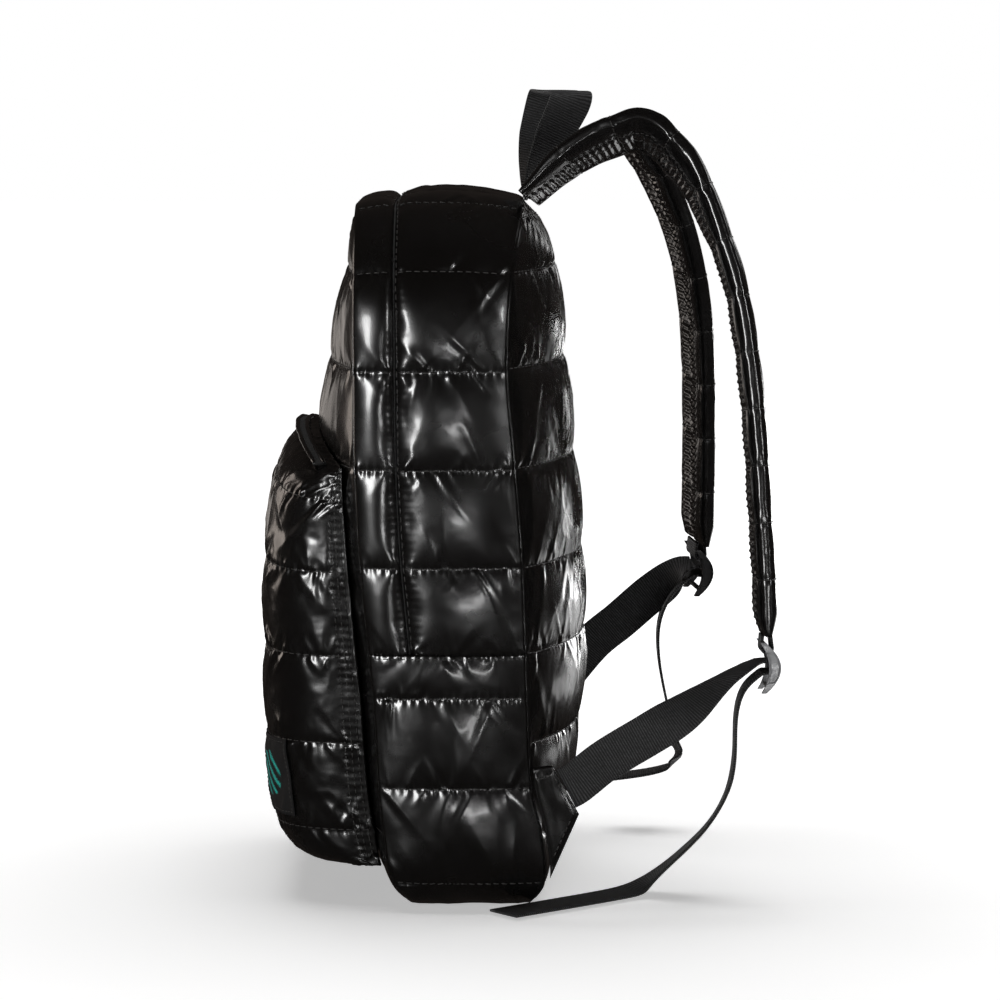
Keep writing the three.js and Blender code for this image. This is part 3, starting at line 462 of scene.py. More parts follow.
def blown_up(cloth):
    """A grid's object with Cloth on it, ready for the simulation."""
    points, pinned = cloth["points"], cloth["pinned"]
    rows, columns = pinned.shape
    start = points.copy()
    noise = soft_noise((rows, columns), 9, cloth["seed"], cloth["around"])
    fine = soft_noise((rows, columns), 3, cloth["seed"] + 1, cloth["around"])
    normals = grid_normals(points, cloth["around"])
    start += normals * ((0.5 + 0.5 * noise + 0.35 * fine) * 0.8 * mm * ~pinned)[..., None]
    if cloth["around"]:
        faces = tube_of(rows, columns)[1]
    else:
        faces = quads(np.arange(rows * columns).reshape(rows, columns))
    mesh = bpy.data.meshes.new("cloth_grid")
    mesh.from_pydata((start * SIM_SCALE).reshape(-1, 3).tolist(), [], faces)
    mesh.update()
    grid = bpy.data.objects.new("cloth_grid", mesh)
    bpy.context.scene.collection.objects.link(grid)
    grid.vertex_groups.new(name="stitched").add(np.nonzero(pinned.ravel())[0].tolist(), 1.0, "REPLACE")
    grid.shape_key_add(name="start")
    cut = grid.shape_key_add(name="cut")
    cut.data.foreach_set("co", (cloth["cut"] * SIM_SCALE).ravel())
    modifier = grid.modifiers.new("cloth", "CLOTH")
    modifier.settings.effector_weights.gravity = 0
    modifier.settings.rest_shape_key = cut
    for setting, value in CLOTH_SETTINGS.items():
        setattr(modifier.settings, setting, value)
    modifier.collision_settings.use_collision = False
    modifier.point_cache.frame_start = 1
    modifier.point_cache.frame_end = 2 * SIM_FRAMES
    return grid


def blow_up_all():
    """Simulates all the grids together and keeps how far each point has moved."""
    grids = {name: blown_up(cloth) for name, cloth in cloths.items()}
    for step in range(1, SIM_FRAMES + 1):
        bpy.context.scene.frame_set(step)
    graph = bpy.context.evaluated_depsgraph_get()
    for name, grid in grids.items():
        cloth = cloths[name]
        settled = grid.evaluated_get(graph)
        flat = np.empty(len(settled.data.vertices) * 3)
        settled.data.vertices.foreach_get("co", flat)
        moved = flat.reshape(cloth["points"].shape) / SIM_SCALE - cloth["points"]
        out = grid_normals(cloth["points"], cloth["around"])
        stand = (moved * out).sum(-1)
        most = np.percentile(stand, 98)
        capped = np.clip(stand * min(1.0, cloth["swell"] / most), -0.6 * mm, 1.25 * cloth["swell"])
        side = moved - out * stand[..., None]
        reach = np.linalg.norm(side, axis=-1, keepdims=True)
        side *= np.minimum(1, SIDE_SLIP / np.maximum(reach, 1e-9))
        cloth["moved"] = out * capped[..., None] + side
        print(name, cloth["pinned"].shape, "stands out", round(most / mm, 1), "mm before the cap")
    bpy.context.scene.frame_set(1)
    for grid in grids.values():
        bpy.data.meshes.remove(grid.data)


# %% [markdown]
# ## Front and back panel
# Both are one cloth across the bag, stitched through at the same heights. Rows of the grid run level, so that each
# stitched line is a row. The rim of the panel is sewn to the side of the bag, and is pinned too.

# %% Panels
PANEL_COLUMNS = int(round(2 * HALF_WIDTH / CLOTH_STEP)) + 1
FINE_TOP = [409.0 * mm, 409.75 * mm]
FINE_FOOT = [0.4 * mm, 1.4 * mm, 3.2 * mm]
CROWN_POWER = 2.3  # how flat a panel is before it falls away to its sides
panel_heights = places_between([*LOW_LINES, *HIGH_LINES, *FINE_TOP, *FINE_FOOT], CLOTH_STEP, 0, BAG_HEIGHT)


def panel_points(facing, seam_at, crown_at):
    """The smooth skin of a panel. facing is -1 for the front and 1 for the back."""
    z, across = np.meshgrid(panel_heights, np.linspace(-1, 1, PANEL_COLUMNS), indexing="ij")
    y = facing * across * (half_width(z) - SEAM_INSET)
    x = seam_at(z) + facing * (crown_at(z) * (1 - np.abs(across) ** CROWN_POWER) - SEAM_INSET)
    return np.stack([x, y, np.clip(z, SEAM_INSET, BAG_HEIGHT - SEAM_INSET)], -1)


def pocket_seat(y, z):
    """Where the front panel's face is behind the pocket."""
    return front_seam(z) - front_crown(z) * (1 - np.clip(np.abs(y) / half_width(z), 0, 1) ** CROWN_POWER)


def rim_of(shape):
    """The outermost points of a grid."""
    rim = np.zeros(shape, bool)
    rim[0] = rim[-1] = True
    rim[:, 0] = rim[:, -1] = True
    return rim


for name, facing, seam_at, crown_at, lines, seed in (
    ("front_panel", -1, front_seam, front_crown, FRONT_LINES, 11),
    ("back_panel", 1, back_seam, back_crown, BACK_LINES, 23),
):
    skin = panel_points(facing, seam_at, crown_at)
    pinned = rim_of(skin.shape[:2])
    pinned[on_lines(panel_heights, lines)] = True
    pinned[panel_heights > HIGH_LINES[-1]] = True
    pinned[panel_heights < 3.5 * mm] = True
    if facing < 0:  # plain cloth where the pocket lies
        pinned[(panel_heights > LOW_LINES[1]) & (panel_heights < HIGH_LINES[1])] = True
    stitched = [i for i, z in enumerate(panel_heights) if 0.004 < z < 0.409 and min(abs(z - v) for v in lines) < 1e-5]
    hang_cloth(name, skin, pinned, PUFF * 1.05, seed, (0.09, 0.03), 0.05, stitched)
    middle = (len(panel_heights) // 2, PANEL_COLUMNS // 2)
    print(name, skin.shape, "way out at the middle:", grid_normals(skin)[middle].round(2))

# %% [markdown]
# ## The gusset
# The side of the bag is one long strip over the top and down both sides, cut in two by the covered zip, with a third
# panel that goes under the base below the cross seam. A station is a place on the way round; every strip is a grid of
# stations by places from its front line to its back line.

# %% Stations round the bag
def upper_station(girth):
    """Side (0 to 1), height and lean of the cloth at a length from the base, up the side and over the corner."""
    arc = np.clip((girth - TOP_ARC_START) / TOP_CORNER_RADIUS, 0, math.pi / 2)
    over = np.maximum(girth - TOP_ARC_START - TOP_CORNER_RADIUS * math.pi / 2, 0)
    z = np.where(girth < TOP_ARC_START, girth, TOP_ARC_START + TOP_CORNER_RADIUS * np.sin(arc))
    return half_width(z) - over, z, arc


BASE_HALF = half_width(0.0)
BASE_TURN = BASE_CORNER_RADIUS * math.pi / 2


def lower_station(walk):
    """The same for a walk from the middle of the base out and up the side."""
    arc = np.clip((walk - BASE_HALF) / BASE_CORNER_RADIUS, 0, math.pi / 2)
    rise = np.maximum(walk - BASE_HALF - BASE_TURN, 0)
    z = np.where(rise > 0, BASE_CORNER_RADIUS + rise, BASE_CORNER_RADIUS * (1 - np.cos(arc)))
    return np.where(arc > 0, half_width(z), walk), z, arc - math.pi / 2


def walk_of(z):
    """How long the walk from the middle of the base is to a height on the side."""
    if z >= BASE_CORNER_RADIUS:
        return BASE_HALF + BASE_TURN + z - BASE_CORNER_RADIUS
    return BASE_HALF + BASE_CORNER_RADIUS * math.acos(1 - z / BASE_CORNER_RADIUS)


upper_half = places_between(GUSSET_LINES, CLOTH_STEP, LOWER_GUSSET_TOP, TOP_GIRTH)
lower_lines = [walk_of(z) for z in (LOW_LINES[0], LOW_LINES[2], LOW_LINES[4], LOWER_GUSSET_TOP)]
lower_half = places_between(lower_lines, CLOTH_STEP, 0, walk_of(LOWER_GUSSET_TOP))


def round_trip(half, station):
    """Stations from one side to the other: side signed, height, way out, and the half's own measure."""
    to_side, z, lean = station(half)
    side, height = np.concatenate([to_side, -to_side[-2::-1]]), np.concatenate([z, z[-2::-1]])
    lean = np.concatenate([lean, lean[-2::-1]])
    sign = np.concatenate([np.ones(len(half)), -np.ones(len(half) - 1)])
    out = np.stack([0 * lean, sign * np.cos(lean), np.sin(lean)], -1)
    return side, height, out, np.concatenate([half, half[-2::-1]])


upper_y, upper_z, upper_out, upper_girth = round_trip(upper_half, upper_station)
upper_y, upper_out = -upper_y, upper_out * (1, -1, 1)
lower_y, lower_z, lower_out, lower_walk = round_trip(lower_half[::-1], lower_station)
print("stations:", len(upper_y), "over the top,", len(lower_y), "under the base")


# %% Strips of the gusset
ZIP_LIP, LIP_DROP = 0.4 * mm, 2.8 * mm  # how near a strip's lip comes to the zip line, and how deep it turns in


def zip_line(z):
    return front_seam(z) + FRONT_STRIP_WIDTH


def strip_points(y, z, out, start, end, columns, steady, lips):
    """The smooth skin of a strip from one line to another. lips tells which of its edges turn in at the zip."""
    share = np.linspace(0, 1, columns)[None, :]
    x = start[:, None] + (end - start)[:, None] * share
    depth = (x - front_seam(z)[:, None]) / (back_seam(z) - front_seam(z))[:, None]
    crown = GUSSET_CROWN * np.maximum(0, 1 - np.abs(2 * depth - 1) ** 2.4) * steady[:, None]
    width = np.abs(end - start)[:, None]
    for lip, gap in ((lips[0], share * width), (lips[1], (1 - share) * width)):
        if lip:
            crown = crown - LIP_DROP * np.clip(1 - gap / (5 * mm), 0, 1) ** 2
    points = np.stack([x, np.broadcast_to(y[:, None], x.shape), np.broadcast_to(z[:, None], x.shape)], -1)
    return points + out[:, None, :] * crown[..., None]


def strip_pins(station_lines, shape, extra=None):
    """The rim of a strip, its stitched rows, and any extra rows."""
    pinned = rim_of(shape)
    pinned[station_lines] = True
    if extra is not None:
        pinned[extra] = True
    return pinned


steady_top = np.ones(len(upper_z))
upper_lines = on_lines(upper_girth, GUSSET_LINES)
front_strip = strip_points(
    upper_y, upper_z, upper_out, front_seam(upper_z) + SEAM_INSET, zip_line(upper_z) - ZIP_LIP, 10, steady_top,
    (False, True),
)
rear_strip = strip_points(
    upper_y, upper_z, upper_out, zip_line(upper_z) + ZIP_LIP, back_seam(upper_z) - SEAM_INSET, 27, steady_top,
    (True, False),
)
steady_foot = np.clip(lower_z / BASE_CORNER_RADIUS, 0, 1) ** 2
lower_skin = strip_points(
    lower_y, lower_z, lower_out, front_seam(lower_z) + SEAM_INSET, back_seam(lower_z) - SEAM_INSET, 37, steady_foot,
    (False, False),
)
for name, skin, rows, extra, seed, swell, spare, skew in (
    ("gusset_front_strip", front_strip, upper_lines, None, 31, 3.2 * mm, (0.05, 0.004), 0.03),
    ("gusset_rear_strip", rear_strip, upper_lines, None, 47, PUFF * 0.95, (0.1, 0.02), 0.12),
    (
        "lower_gusset", lower_skin, on_lines(lower_walk, lower_lines), lower_z < 4 * mm, 59, PUFF * 1.05,
        (0.1, 0.02), 0.12,
    ),
):
    hang_cloth(name, skin, strip_pins(rows, skin.shape[:2], extra), swell, seed, spare, skew, np.nonzero(rows)[0])
    print(name, skin.shape, "way out:", grid_normals(skin)[20, 4].round(2))

# %% [markdown]
# ## The front pocket
# The pocket is a puffer box sewn on the front panel. Its grid runs from the panel forwards along one side, round the
# corner, across the front and back along the other side, with the columns an even length of cloth apart.

# %% Pocket
POCKET_HALF_WIDTH, POCKET_FOOT, POCKET_HEIGHT = 127 * mm, 23 * mm, 235 * mm
POCKET_ARCH, POCKET_REACH, POCKET_PUFF = 19 * mm, 123 * mm, 5 * mm
POCKET_FLANGE = 11 * mm  # the flat edge next to the body, with three rows of stitches
POCKET_PLAN_DEPTH = 60 * mm
SEAT_GAP = 0.5 * mm
# Columns: row; depth from the front panel to the pocket's front; height of POCKET_HEIGHT
POCKET_PROFILE = np.array([
    [0, 0, 0.03], [1, 0.42, 0], [2, 0.74, 0.015], [3, 0.84, 0.05], [4, 0.9, 0.09], [5, 0.95, 0.2], [6, 0.985, 0.31],
    [7, 1, 0.42], [8, 1, 0.53], [9, 1, 0.64], [10, 0.99, 0.74], [11, 0.91, 0.83], [12, 0.8, 0.92], [13, 0.45, 0.975],
    [14, 0, 1],
])
POCKET_SEAMS = [0, 4, 6, 8, 10, 12, 14]
pocket_depth, pocket_rise = column_of(POCKET_PROFILE, 1), column_of(POCKET_PROFILE, 2)
POCKET_ROUND = 7.0  # how square the pocket's plan is
PLAN_STEPS, PROFILE_STEPS = 4001, 561  # how finely the pocket's plan and profile are measured

# Shares of the half width that lie an even length of cloth apart
fine = np.sin(np.linspace(-math.pi / 2, math.pi / 2, PLAN_STEPS))
plan_length = walked_along(
    np.stack([POCKET_HALF_WIDTH * fine, POCKET_PLAN_DEPTH * np.sqrt(1 - np.abs(fine) ** POCKET_ROUND)], -1)
)
pocket_columns = 2 * int(round(plan_length[-1] / CLOTH_STEP / 2)) + 1
even = np.linspace(0, plan_length[-1], pocket_columns)
pocket_across = np.interp(even, plan_length, fine)
pocket_edge = np.minimum(even, plan_length[-1] - even)  # length of cloth to the nearer edge on the panel
fine_rows = np.linspace(0, POCKET_SEAMS[-1], PROFILE_STEPS)
row_lengths = walked_along(
    np.stack([POCKET_PLAN_DEPTH * pocket_depth(fine_rows), POCKET_HEIGHT * pocket_rise(fine_rows)], -1)
)
seam_lengths = [float(np.interp(seam, fine_rows, row_lengths)) for seam in POCKET_SEAMS]
pocket_walk = places_between(seam_lengths, CLOTH_STEP)
pocket_rows = np.interp(pocket_walk, row_lengths, fine_rows)
row_grid, across_grid = np.meshgrid(pocket_rows, pocket_across, indexing="ij")
rise = pocket_rise(row_grid)
pocket_z = POCKET_FOOT + POCKET_HEIGHT * rise + POCKET_ARCH * (1 - across_grid**2) * np.clip(rise, 0, 1) ** 3
pocket_y = -across_grid * POCKET_HALF_WIDTH * (1 - 0.015 * np.abs(2 * rise - 1) ** 3)
seat_x = pocket_seat(pocket_y, pocket_z) - 2.2 * mm
wall = np.sqrt(np.maximum(0, 1 - np.abs(across_grid) ** POCKET_ROUND))
pocket_x = seat_x + (-POCKET_REACH + POCKET_PUFF - seat_x) * np.clip(pocket_depth(row_grid), 0, 1) * wall
pocket_skin = np.stack([pocket_x, pocket_y, pocket_z], -1)
pocket_lines = on_lines(pocket_walk, seam_lengths)
pinned = strip_pins(pocket_lines, pocket_x.shape)
pinned[:, pocket_edge < POCKET_FLANGE] = True
hang_cloth(
    "front_pocket", pocket_skin, pinned, POCKET_PUFF * 1.4, 71, (0.11, 0.06), 0.08, np.nonzero(pocket_lines)[0]
)
middle = (len(pocket_rows) // 2, pocket_columns // 2)
print("front_pocket", pocket_x.shape, "way out:", grid_normals(pocket_skin)[middle].round(2))

# %% [markdown]
# ## Shoulder straps
# Each strap is a padded tube, flat in section, that follows a smooth run from the top of the back panel out, over and
# down. Its stitched lines go straight across it, so whole rings of its grid are pinned. The run is the CAD's own: a
# centripetal spline through a table of shares.

# %% Runs through a table of points
def spline_through(points):
    """A centripetal spline through points, as a function of the place from 0 to their number less one."""
    points = np.asarray(points, float)
    padded_points = np.vstack([2 * points[0] - points[1], points, 2 * points[-1] - points[-2]])

    def at(place):
        i = int(min(len(points) - 2, max(0, math.floor(place))))
        s = place - i
        a, b, c, d = padded_points[i : i + 4]
        gaps = [np.linalg.norm(q - p) ** 0.5 for p, q in ((a, b), (b, c), (c, d))]
        gaps[1] = gaps[1] if gaps[1] > 1e-6 else 1.0
        gaps = [g if g > 1e-6 else gaps[1] for g in gaps]
        t1 = ((b - a) / gaps[0] - (c - a) / (gaps[0] + gaps[1]) + (c - b) / gaps[1]) * gaps[1]
        t2 = ((c - b) / gaps[1] - (d - b) / (gaps[1] + gaps[2]) + (d - c) / gaps[2]) * gaps[1]
        return b + t1 * s + (3 * (c - b) - 2 * t1 - t2) * s**2 + (2 * (b - c) + t1 + t2) * s**3

    return at


# %% Strap runs
STRAP_SPACING, STRAP_REACH = 128 * mm, 144 * mm
STRAP_WIDTH, STRAP_THICKNESS, STRAP_CHANNEL = 58 * mm, 13 * mm, 34 * mm
# Columns: reach behind the back seam; height of BAG_HEIGHT; sideways drift
STRAP_PATHS = {
    "right": [
        [0.02, 1.0085, 0], [0.148, 1.053, 0.02], [0.278, 1.084, 0.06], [0.391, 1.1, 0.1], [0.472, 1.108, 0.14],
        [0.54, 1.1, 0.18], [0.602, 1.078, 0.23], [0.673, 1.05, 0.3], [0.735, 1.008, 0.38], [0.796, 0.958, 0.46],
        [0.857, 0.9, 0.55], [0.91, 0.8, 0.66], [0.945, 0.69, 0.77], [0.966, 0.575, 0.87], [0.985, 0.47, 0.95],
        [0.992, 0.385, 1],
    ],
    "left": [
        [0.02, 1.0085, 0], [0.18, 1.062, 0.02], [0.333, 1.1, 0.08], [0.463, 1.092, 0.16], [0.55, 1.052, 0.26],
        [0.628, 0.998, 0.38], [0.696, 0.936, 0.5], [0.745, 0.86, 0.62], [0.772, 0.77, 0.74], [0.782, 0.65, 0.86],
        [0.782, 0.54, 0.95], [0.778, 0.462, 1],
    ],
}
# Side of the bag; turn and roll of the strap's width in degrees; how far the strap spreads sideways
STRAP_SIDES = {"right": (-1, 1, 22, 38 * mm), "left": (1, 11, 6, 50 * mm)}
RUN_STEPS = 1201  # how finely a strap's run is measured


def smoothstep(value, low, high):
    """A soft step from 0 at low to 1 at high."""
    share = np.clip((value - low) / (high - low), 0, 1)
    return share * share * (3 - 2 * share)


def strap_run(name):
    """The strap's middle line and the way its width lies, both as functions of the share of its length."""
    side, turn, roll, flare = STRAP_SIDES[name]
    root = back_seam(BAG_HEIGHT)
    path = spline_through([
        (root + STRAP_REACH * reach, side * (STRAP_SPACING / 2 + flare * drift), BAG_HEIGHT * height)
        for reach, height, drift in STRAP_PATHS[name]
    ])
    places = np.linspace(0, len(STRAP_PATHS[name]) - 1, RUN_STEPS)
    line = np.array([path(place) for place in places])
    walked = walked_along(line)
    turned, rolled = math.radians(turn), math.radians(roll)

    def at(share):
        return followed(line, walked, share * walked[-1])

    def width(share):
        rolling = 1 - smoothstep(share, 0.28, 0.5)
        return unit(np.array([-math.sin(turned), math.cos(turned), -math.sin(rolled) * rolling]))

    return at, width, walked[-1]


STRAP_AROUND = 56
strap_frames = {}
for name, seed in (("right", 83), ("left", 97)):
    at, width, length = strap_run(name)
    channels = int(round(length / STRAP_CHANNEL))
    stops = places_between([k / channels for k in range(channels + 1)], CLOTH_STEP / length)
    rings, lies, looks = [], [], []
    for stop in stops:
        point = at(stop)
        along = unit(at(min(1, stop + 0.004)) - at(max(0, stop - 0.004)))
        wide = unit(width(stop) - along * width(stop).dot(along))
        face = np.cross(along, wide)
        ends = min(np.clip(stop * length / (30 * mm), 0, 1), np.clip((1 - stop) * length / (12 * mm), 0, 1))
        thick = STRAP_THICKNESS / 2 * 0.86 * (0.4 + 0.6 * ends)
        angle = np.linspace(0, 2 * math.pi, STRAP_AROUND, endpoint=False)
        across = np.sign(np.cos(angle)) * np.abs(np.cos(angle)) ** 0.42 * STRAP_WIDTH / 2
        lift = np.sign(np.sin(angle)) * np.abs(np.sin(angle)) ** 0.62 * thick
        rings.append(point + across[:, None] * wide + lift[:, None] * face)
        lies.append(wide)
        looks.append(face)
    tube = np.array(rings)
    ring = tube[len(stops) // 2]
    if (grid_normals(tube, True)[len(stops) // 2] * (ring - ring.mean(0))).sum() < 0:
        tube = tube[:, ::-1]
    stitched = on_lines(stops, [k / channels for k in range(channels + 1)])
    pinned = np.zeros(tube.shape[:2], bool)
    pinned[stitched] = True
    hang_cloth(
        f"shoulder_strap_{name}", tube, pinned, 1.5 * mm, seed, (0.02, 0.006), 0, np.nonzero(stitched)[0], around=True
    )
    cloths[f"shoulder_strap_{name}"].update(lies=np.array(lies), looks=np.array(looks))
    strap_frames[name] = (at, width, length)
    print(f"shoulder_strap_{name}", tube.shape, "length", round(length, 3))

# %% [markdown]
# ## Blowing the panels up
# All the grids are simulated at once.

# %% Simulation
blow_up_all()
print(sum(cloth["pinned"].size for cloth in cloths.values()), "points of cloth")

# %% [markdown]
# ## Finishes
# The nylon is almost black and very glossy: a fine weave, a soft crumple of its coating and a little unevenness in
# the gloss are all that break its reflections. Webbing is matt, with close ribs across it. Thread is a dull dark grey.

# %% Nylon
def nylon_paint(name, colour, gloss, crumple):
    paint, tree, shader = new_paint(name, colour, gloss[0], 0.6)
    shader.inputs["Coat Weight"].default_value = 0.3
    shader.inputs["Coat Roughness"].default_value = 0.12
    tree.links.new(ranged(tree, noise_in(tree, 34, 4), *gloss), shader.inputs["Roughness"])
    bumped(tree, shader, [
        (noise_in(tree, 95, 3, 0.55), crumple, 1.6 * mm),
        (noise_in(tree, 420, 2, 0.5), crumple * 0.35, 0.4 * mm),
        (ribs_in(tree, 0.42 * mm, "X"), 0.015, 0.05 * mm),
        (ribs_in(tree, 0.42 * mm, "Y"), 0.015, 0.05 * mm),
    ])
    return paint


nylon = nylon_paint("puffer_nylon", (0.005, 0.0046, 0.0044), (0.2, 0.3), 0.035)
strap_nylon = nylon_paint("strap_nylon", (0.006, 0.0056, 0.0056), (0.17, 0.25), 0.05)

# %% Webbing, thread, zip, plastic
def webbing_paint(name, colour, period):
    paint, tree, shader = new_paint(name, colour, 0.62, 0.35)
    shader.inputs["Sheen Weight"].default_value = 0.25
    shader.inputs["Sheen Roughness"].default_value = 0.4
    weave = multiplied(tree, ribs_in(tree, period, "Y"), noise_in(tree, 900, 2))
    dark, pale = ([share * value for value in colour] for share in (0.45, 6))
    tint = mixed(tree, ranged(tree, weave, 0, 1, 0.05, 0.6), dark, pale)
    tree.links.new(tint, shader.inputs["Base Color"])
    bumped(tree, shader, [
        (ribs_in(tree, period, "Y"), 0.7, 0.35 * mm),
        (ribs_in(tree, 0.9 * mm, "X"), 0.3, 0.15 * mm),
        (noise_in(tree, 700, 2), 0.25, 0.2 * mm),
    ])
    return paint


webbing = webbing_paint("webbing", (0.011, 0.011, 0.0115), 1.5 * mm)
zip_tape = webbing_paint("zip_tape", (0.012, 0.012, 0.012), 0.8 * mm)

thread, tree, shader = new_paint("thread", (0.045, 0.043, 0.041), 0.38, 0.5)
bumped(tree, shader, [(noise_in(tree, 2600, 2), 0.5, 0.1 * mm)])

plastic, tree, shader = new_paint("adjuster_plastic", (0.02, 0.02, 0.021), 0.3, 0.5)
tree.links.new(ranged(tree, noise_in(tree, 90, 3), 0.26, 0.4), shader.inputs["Roughness"])
bumped(tree, shader, [(noise_in(tree, 1400, 2), 0.12, 0.05 * mm)])
print("finishes:", [paint.name for paint in (nylon, strap_nylon, webbing, zip_tape, thread, plastic)])

# %% [markdown]
# ## From a grid to a sewn wall
# The simulated grid is made twice as fine with a scheme that keeps its points, the little puckers of each stitch are
# added along the stitched rows, and the skin is closed with a coarser inner side, three millimetres further in.

# %% Refining a grid
def refined(points, around=False):
    """A grid twice as fine, through the same points."""
    for axis in (0, 1):
        moved = np.moveaxis(points, axis, 0)
        if around and axis == 1:
            ends = np.concatenate([moved[-1:], moved, moved[:2]])
        else:
            ends = np.concatenate([[2 * moved[0] - moved[1]], moved, [2 * moved[-1] - moved[-2]]])
        between = (-ends[:-3] + 9 * ends[1:-2] + 9 * ends[2:-1] - ends[3:]) / 16
        fine = np.empty((len(moved) + len(between), *moved.shape[1:]))
        fine[0::2], fine[1::2] = moved, between
        points = np.moveaxis(fine, 0, axis)
    return points


STITCH_PITCH, STITCH_LENGTH, STITCH_RADIUS = 5 * mm, 3.5 * mm, 0.33 * mm
PUCKER_PATCH = 16 * mm  # about how long a seam keeps the same strength of pucker


def puckered(points, rows, seed, around=False, height=0.55 * mm, reach=6 * mm):
    """Raises the cloth between stitches next to each stitched row, more in some places than in others."""
    normals = grid_normals(points, around)
    lift = np.zeros(points.shape[:2])
    for k, row in enumerate(rows):
        along = walked_along(points[row])
        random = np.random.RandomState(seed + 7 * k)
        patches = max(4, int(along[-1] / PUCKER_PATCH))
        strong = np.interp(along, np.linspace(0, along[-1], patches), random.uniform(0.25, 1.3, patches))
        ripple = 0.5 - 0.5 * np.cos(2 * math.pi * along / STITCH_PITCH)
        for direction in (-1, 1):
            away = np.zeros(points.shape[1])
            at = row
            while 0 <= at < len(points) and away.min() < reach:
                fade = np.clip(1 - away / reach, 0, 1) ** 1.6
                if direction == 1 or at != row:
                    lift[at] += (ripple - 0.35) * strong * fade
                step = at + direction
                if 0 <= step < len(points):
                    away = away + np.linalg.norm(points[step] - points[at], axis=1)
                at = step
    return points + normals * (lift * height)[..., None]


def creased(points, rows, seed, height, spacing, crumple, around=False):
    """Adds folds that start at the stitched rows and run aslant into the channels: crisp crests that fade out.
    crumple adds crooked creases all over."""
    normals = grid_normals(points, around)
    across, along = cloth_lengths(points)
    lift = np.zeros(points.shape[:2])
    random = np.random.RandomState(seed)
    bends = sorted({0, *rows, len(points) - 1})
    for a, b in zip(bends[:-1], bends[1:]):
        u, v = across[a : b + 1], along[a : b + 1] - along[a]
        deep, wide = v[-1].mean(), u[:, -1].mean()
        if deep < 8 * mm:
            continue
        pinned_near = np.clip(np.minimum(v, v[-1] - v) / (2 * mm), 0, 1)
        for _ in range(int(2 * wide / spacing) + 1):
            away = v if random.rand() < 0.5 else v[-1] - v
            reach = deep * random.choice([random.uniform(0.18, 0.4), random.uniform(0.4, 0.95)])
            lean, bow_out = random.uniform(-0.9, 0.9), random.uniform(-6, 6)
            broad = random.uniform(0.9, 2.4) * mm * (1 + reach / (30 * mm))
            offset = u - (random.uniform(0, wide) + lean * away + bow_out * away**2)
            offset = offset / (broad * (0.6 + away / reach))
            fold = np.exp(-np.abs(offset) * 1.2) - 0.6 * np.exp(-((offset + random.choice([-1.6, 1.6])) ** 2))
            lift[a : b + 1] += height * random.uniform(0.3, 1) * fold * np.clip(1 - away / reach, 0, 1) * pinned_near
        hills = soft_noise(u.shape, 9, seed + a, around) + 0.5 * soft_noise(u.shape, 5, seed + a + 1, around)
        lift[a : b + 1] += crumple * (0.25 - np.abs(hills)) * pinned_near
    if not around:
        lift *= np.clip(np.minimum(across, across[:, -1:] - across) / (3 * mm), 0, 1)
    return points + normals * lift[..., None]


def edge_puckers(points, gap, seed, height, reach=7 * mm):
    """Small level puckers along a lengthwise seam. gap holds how far each column lies from it."""
    normals = grid_normals(points)
    along = walked_along(points[:, points.shape[1] // 2])
    ripple = np.sin(2 * math.pi * along / (4.2 * mm) + 2.5 * soft_noise((len(along), 2), 12, seed)[:, 0])
    strong = 0.6 + 0.6 * soft_noise((len(along), 2), 24, seed + 1)[:, 0]
    fade = np.clip(1 - gap / reach, 0, 1) * np.clip(gap / (1 * mm), 0, 1)
    return points + normals * (height * (ripple * strong)[:, None] * fade[None, :])[..., None]


# %% Meshes with a cloth map
def cloth_mesh(name, vertices, faces, cloth_map, paint):
    """A smooth mesh whose map holds lengths of cloth in metres."""
    mesh = bpy.data.meshes.new(name)
    mesh.from_pydata(np.asarray(vertices).tolist(), [], faces)
    mesh.update()
    layer = mesh.uv_layers.new(name="cloth")
    corner = np.empty(len(mesh.loops), dtype=np.int32)
    mesh.loops.foreach_get("vertex_index", corner)
    layer.data.foreach_set("uv", np.asarray(cloth_map, float)[corner].ravel())
    mesh.materials.append(paint)
    mesh.shade_smooth()
    piece = bpy.data.objects.new(name, mesh)
    bpy.context.scene.collection.objects.link(piece)
    return piece


INNER_STEP = 4  # one inner point for so many outer ones


def every(count, step):
    """The places of a run that are a step apart, and always its last."""
    chosen = list(range(0, count, step))
    return chosen if chosen[-1] == count - 1 else chosen + [count - 1]


